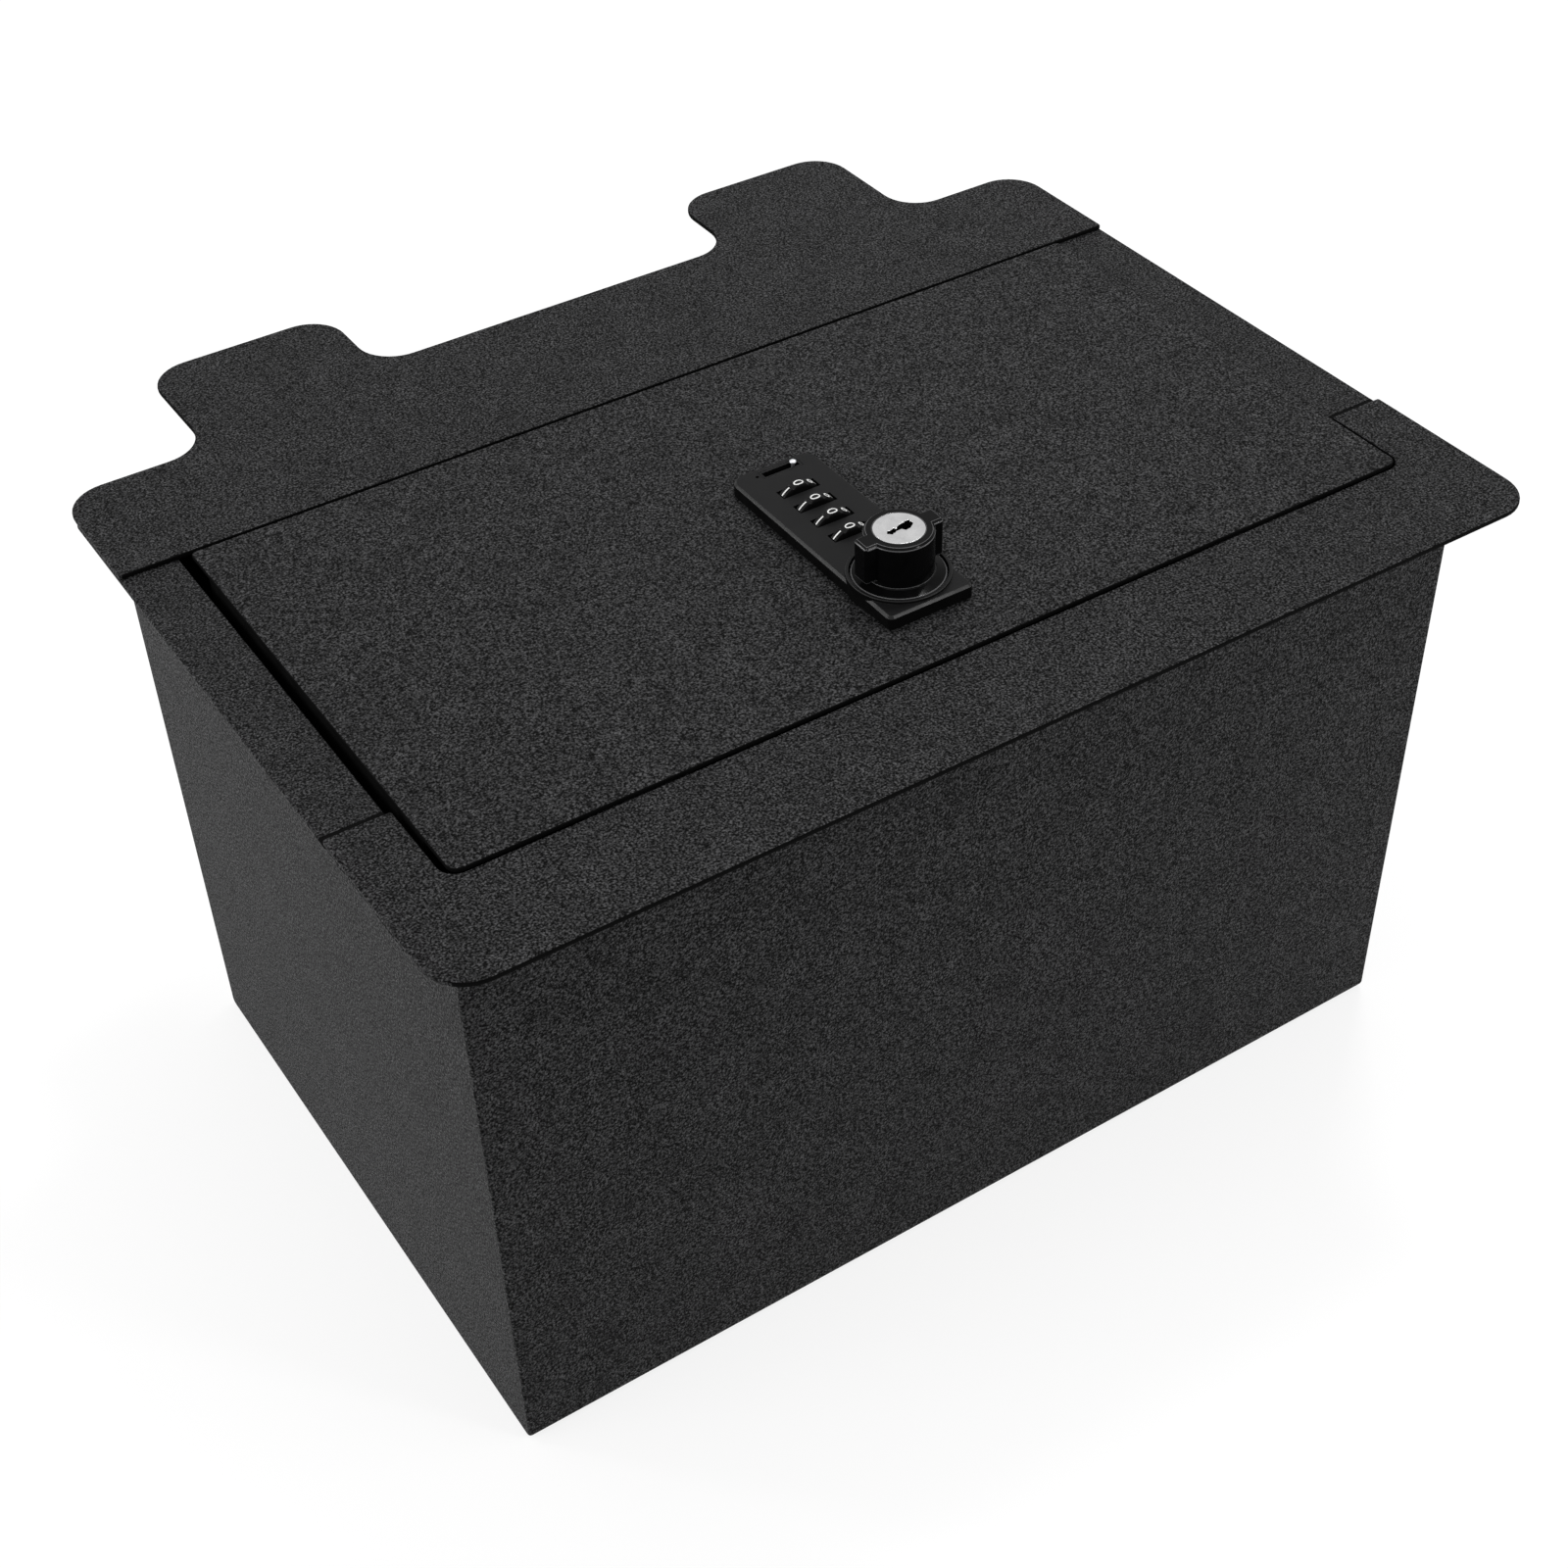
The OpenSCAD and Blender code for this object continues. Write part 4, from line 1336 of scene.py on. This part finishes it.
@dataclass
class KeyPlug:
    """Key plug with its warded keyway."""

    axis: Range = LOCK_AXIS
    face: float = LOCK_TOP
    depth: float = 3.0
    edge: float = 0.12
    wide_ward: tuple[Range, ...] = (
        (0.3, -0.3), (1.0, -1.6), (2.5, -1.4), (4.3, -0.2), (4.2, 1.7), (2.9, 1.7), (1.4, 0.6)
    )
    narrow_ward: tuple[Range, ...] = (
        (-2.5, 0.4), (-2.1, -1.1), (-1.3, -0.6), (0.5, -0.6), (0.5, -0.1), (-1.0, -0.1), (-0.9, 0.9)
    )

    def build(self) -> None:
        """Build and dress the plug."""
        add_piece("key_plug_turned", self.plug(), "plug", CHROME, ["key_plug"], bands=PLUG_BANDS)

    def plug(self) -> Shape:
        """Cut the wards of the keyway's mouth into the plug.

        Returns:
            The closed shape.
        """
        x, y = self.axis
        wards = [
            sheet([(x + dx, y + dy, 0) for dx, dy in ward], self.face - self.depth, self.face + 1)
            for ward in (self.wide_ward, self.narrow_ward)
        ]
        return soften(carve(copy_of("key_plug", 0), *wards), self.edge, 2)


# ---- studio ----


@dataclass(frozen=True)
class Softbox:
    """Large soft lamp that points at the box."""

    name: str
    place: Point
    target: Point
    size: Range
    power: float

    def build(self) -> None:
        """Hang the lamp."""
        lamp = bpy.data.lights.new(self.name, "AREA")
        lamp.shape = "RECTANGLE"
        lamp.size, lamp.size_y = self.size
        lamp.energy = self.power
        item = object_of(self.name, lamp)
        aim = Vector(self.target) - Vector(self.place)
        turn = aim.to_track_quat("-Z", "Y").to_matrix().to_4x4()
        item.matrix_world = Matrix.Translation(self.place) @ turn
        item.visible_camera = False


@dataclass
class Studio:
    """Camera, lamps, pale floor and white surroundings."""

    place: Point = (-0.2934, -0.48691, 0.56842)
    right: Point = (0.835676, -0.548808, -0.021349)
    up: Point = (0.377889, 0.546338, 0.747472)
    back: Point = (-0.398555, -0.632712, 0.66395)
    lens: float = 55.7735
    shift: Range = (-0.006655, 0.019549)
    sensor: float = 36.0
    clip: Range = (0.05, 60.0)
    ambient: float = 0.55
    floor_half: float = 12.0
    floor_drop: float = 0.0004
    floor_glow: float = 1.1
    floor_share: float = 0.72
    lamps: tuple[Softbox, ...] = (
        Softbox("overhead_softbox", (0.05, 0.2, 1.8), (0, 0, 0.19), (1.3, 1.1), 7.0),
        Softbox("left_softbox", (-1.5, 0.15, 0.6), (0, 0, 0.12), (0.9, 0.9), 9.0),
        Softbox("left_rear_softbox", (-1.25, 1.15, 0.93), (0, 0, 0.19), (0.25, 0.25), 5.5),
        Softbox("front_right_softbox", (0.8, -1.33, 1.45), (0, 0, 0.19), (0.25, 0.25), 7.0),
        Softbox("low_right_softbox", (0.9, -0.75, 0.32), (0.1, -0.1, 0.1), (0.5, 0.5), 2.4),
        Softbox("rear_right_spot", (0.68, 0.42, 1.7), (0, 0, 0.19), (0.26, 0.2), 8.0),
    )

    def build(self) -> None:
        """Set up everything that isn't the box."""
        self.camera()
        for lamp in self.lamps:
            lamp.build()
        self.floor()
        self.world()
        bpy.context.scene.view_settings.view_transform = "Standard"

    def camera(self) -> None:
        """Place the camera."""
        data = bpy.data.cameras.new("camera")
        data.sensor_width = self.sensor
        data.lens = self.lens
        data.shift_x, data.shift_y = self.shift
        data.clip_start, data.clip_end = self.clip
        item = object_of("camera", data)
        turn = Matrix((self.right, self.up, self.back)).transposed().to_4x4()
        item.matrix_world = Matrix.Translation(self.place) @ turn
        bpy.context.scene.camera = item

    def floor(self) -> None:
        """Lay a pale floor that shows white except for a soft shadow."""
        shape = bmesh.new()
        bmesh.ops.create_grid(shape, x_segments=1, y_segments=1, size=self.floor_half)
        bmesh.ops.translate(shape, vec=(0, 0, -self.floor_drop), verts=shape.verts)
        mesh = mesh_of(shape, "floor")
        object_of("floor", mesh)
        paper = bpy.data.materials.new("white_paper")
        paper.use_nodes = True
        w = Wiring(paper.node_tree)
        diffuse = w.node("ShaderNodeBsdfDiffuse", {"Color": (0.8, 0.8, 0.8, 1.0)})
        glow = w.node("ShaderNodeEmission", {"Color": WHITE, "Strength": self.floor_glow})
        share = w.math("MULTIPLY", self.seen_directly(w), self.floor_share)
        mixed = w.node("ShaderNodeMixShader", {0: share, 1: diffuse.outputs[0], 2: glow.outputs[0]})
        w.node("ShaderNodeOutputMaterial", {0: mixed.outputs[0]})
        mesh.materials.append(paper)

    @staticmethod
    def seen_directly(w: Wiring) -> Socket:
        """Tell rays that look at the white surroundings from those that light the box.

        Args:
            w: the wiring of the tree that needs it.

        Returns:
            1 for camera, glossy and transmission rays, and 0 for others.
        """
        rays = w.node("ShaderNodeLightPath").outputs
        mirror = w.math("MAXIMUM", rays["Is Glossy Ray"], rays["Is Transmission Ray"])
        return w.math("MAXIMUM", rays["Is Camera Ray"], mirror)

    def world(self) -> None:
        """Surround the box with white that lights it softly."""
        world = bpy.data.worlds.new("white_room")
        world.use_nodes = True
        w = Wiring(world.node_tree)
        strength = w.remap(self.seen_directly(w), (0.0, 1.0), (self.ambient, 1.0))
        sky = w.node("ShaderNodeBackground", {"Color": WHITE, "Strength": strength})
        w.node("ShaderNodeOutputWorld", {0: sky.outputs[0]})
        bpy.context.scene.world = world


def plain(corners: tuple[Vector, Vector]) -> list[list[float]]:
    """Turn a lowest and a highest corner into plain lists."""
    return [[float(c) for c in corner] for corner in corners]


def main() -> None:
    """Build the studio and every piece."""
    logging.basicConfig(level=logging.INFO, format="%(name)s: %(message)s")
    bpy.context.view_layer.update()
    Studio().build()
    for assembly in (BoxBody, Hinge, Lid, LockCase, NumberWheels, CodeSlider, TurnKnob, KeyPlug):
        assembly().build()


if __name__ == "__main__":
    main()
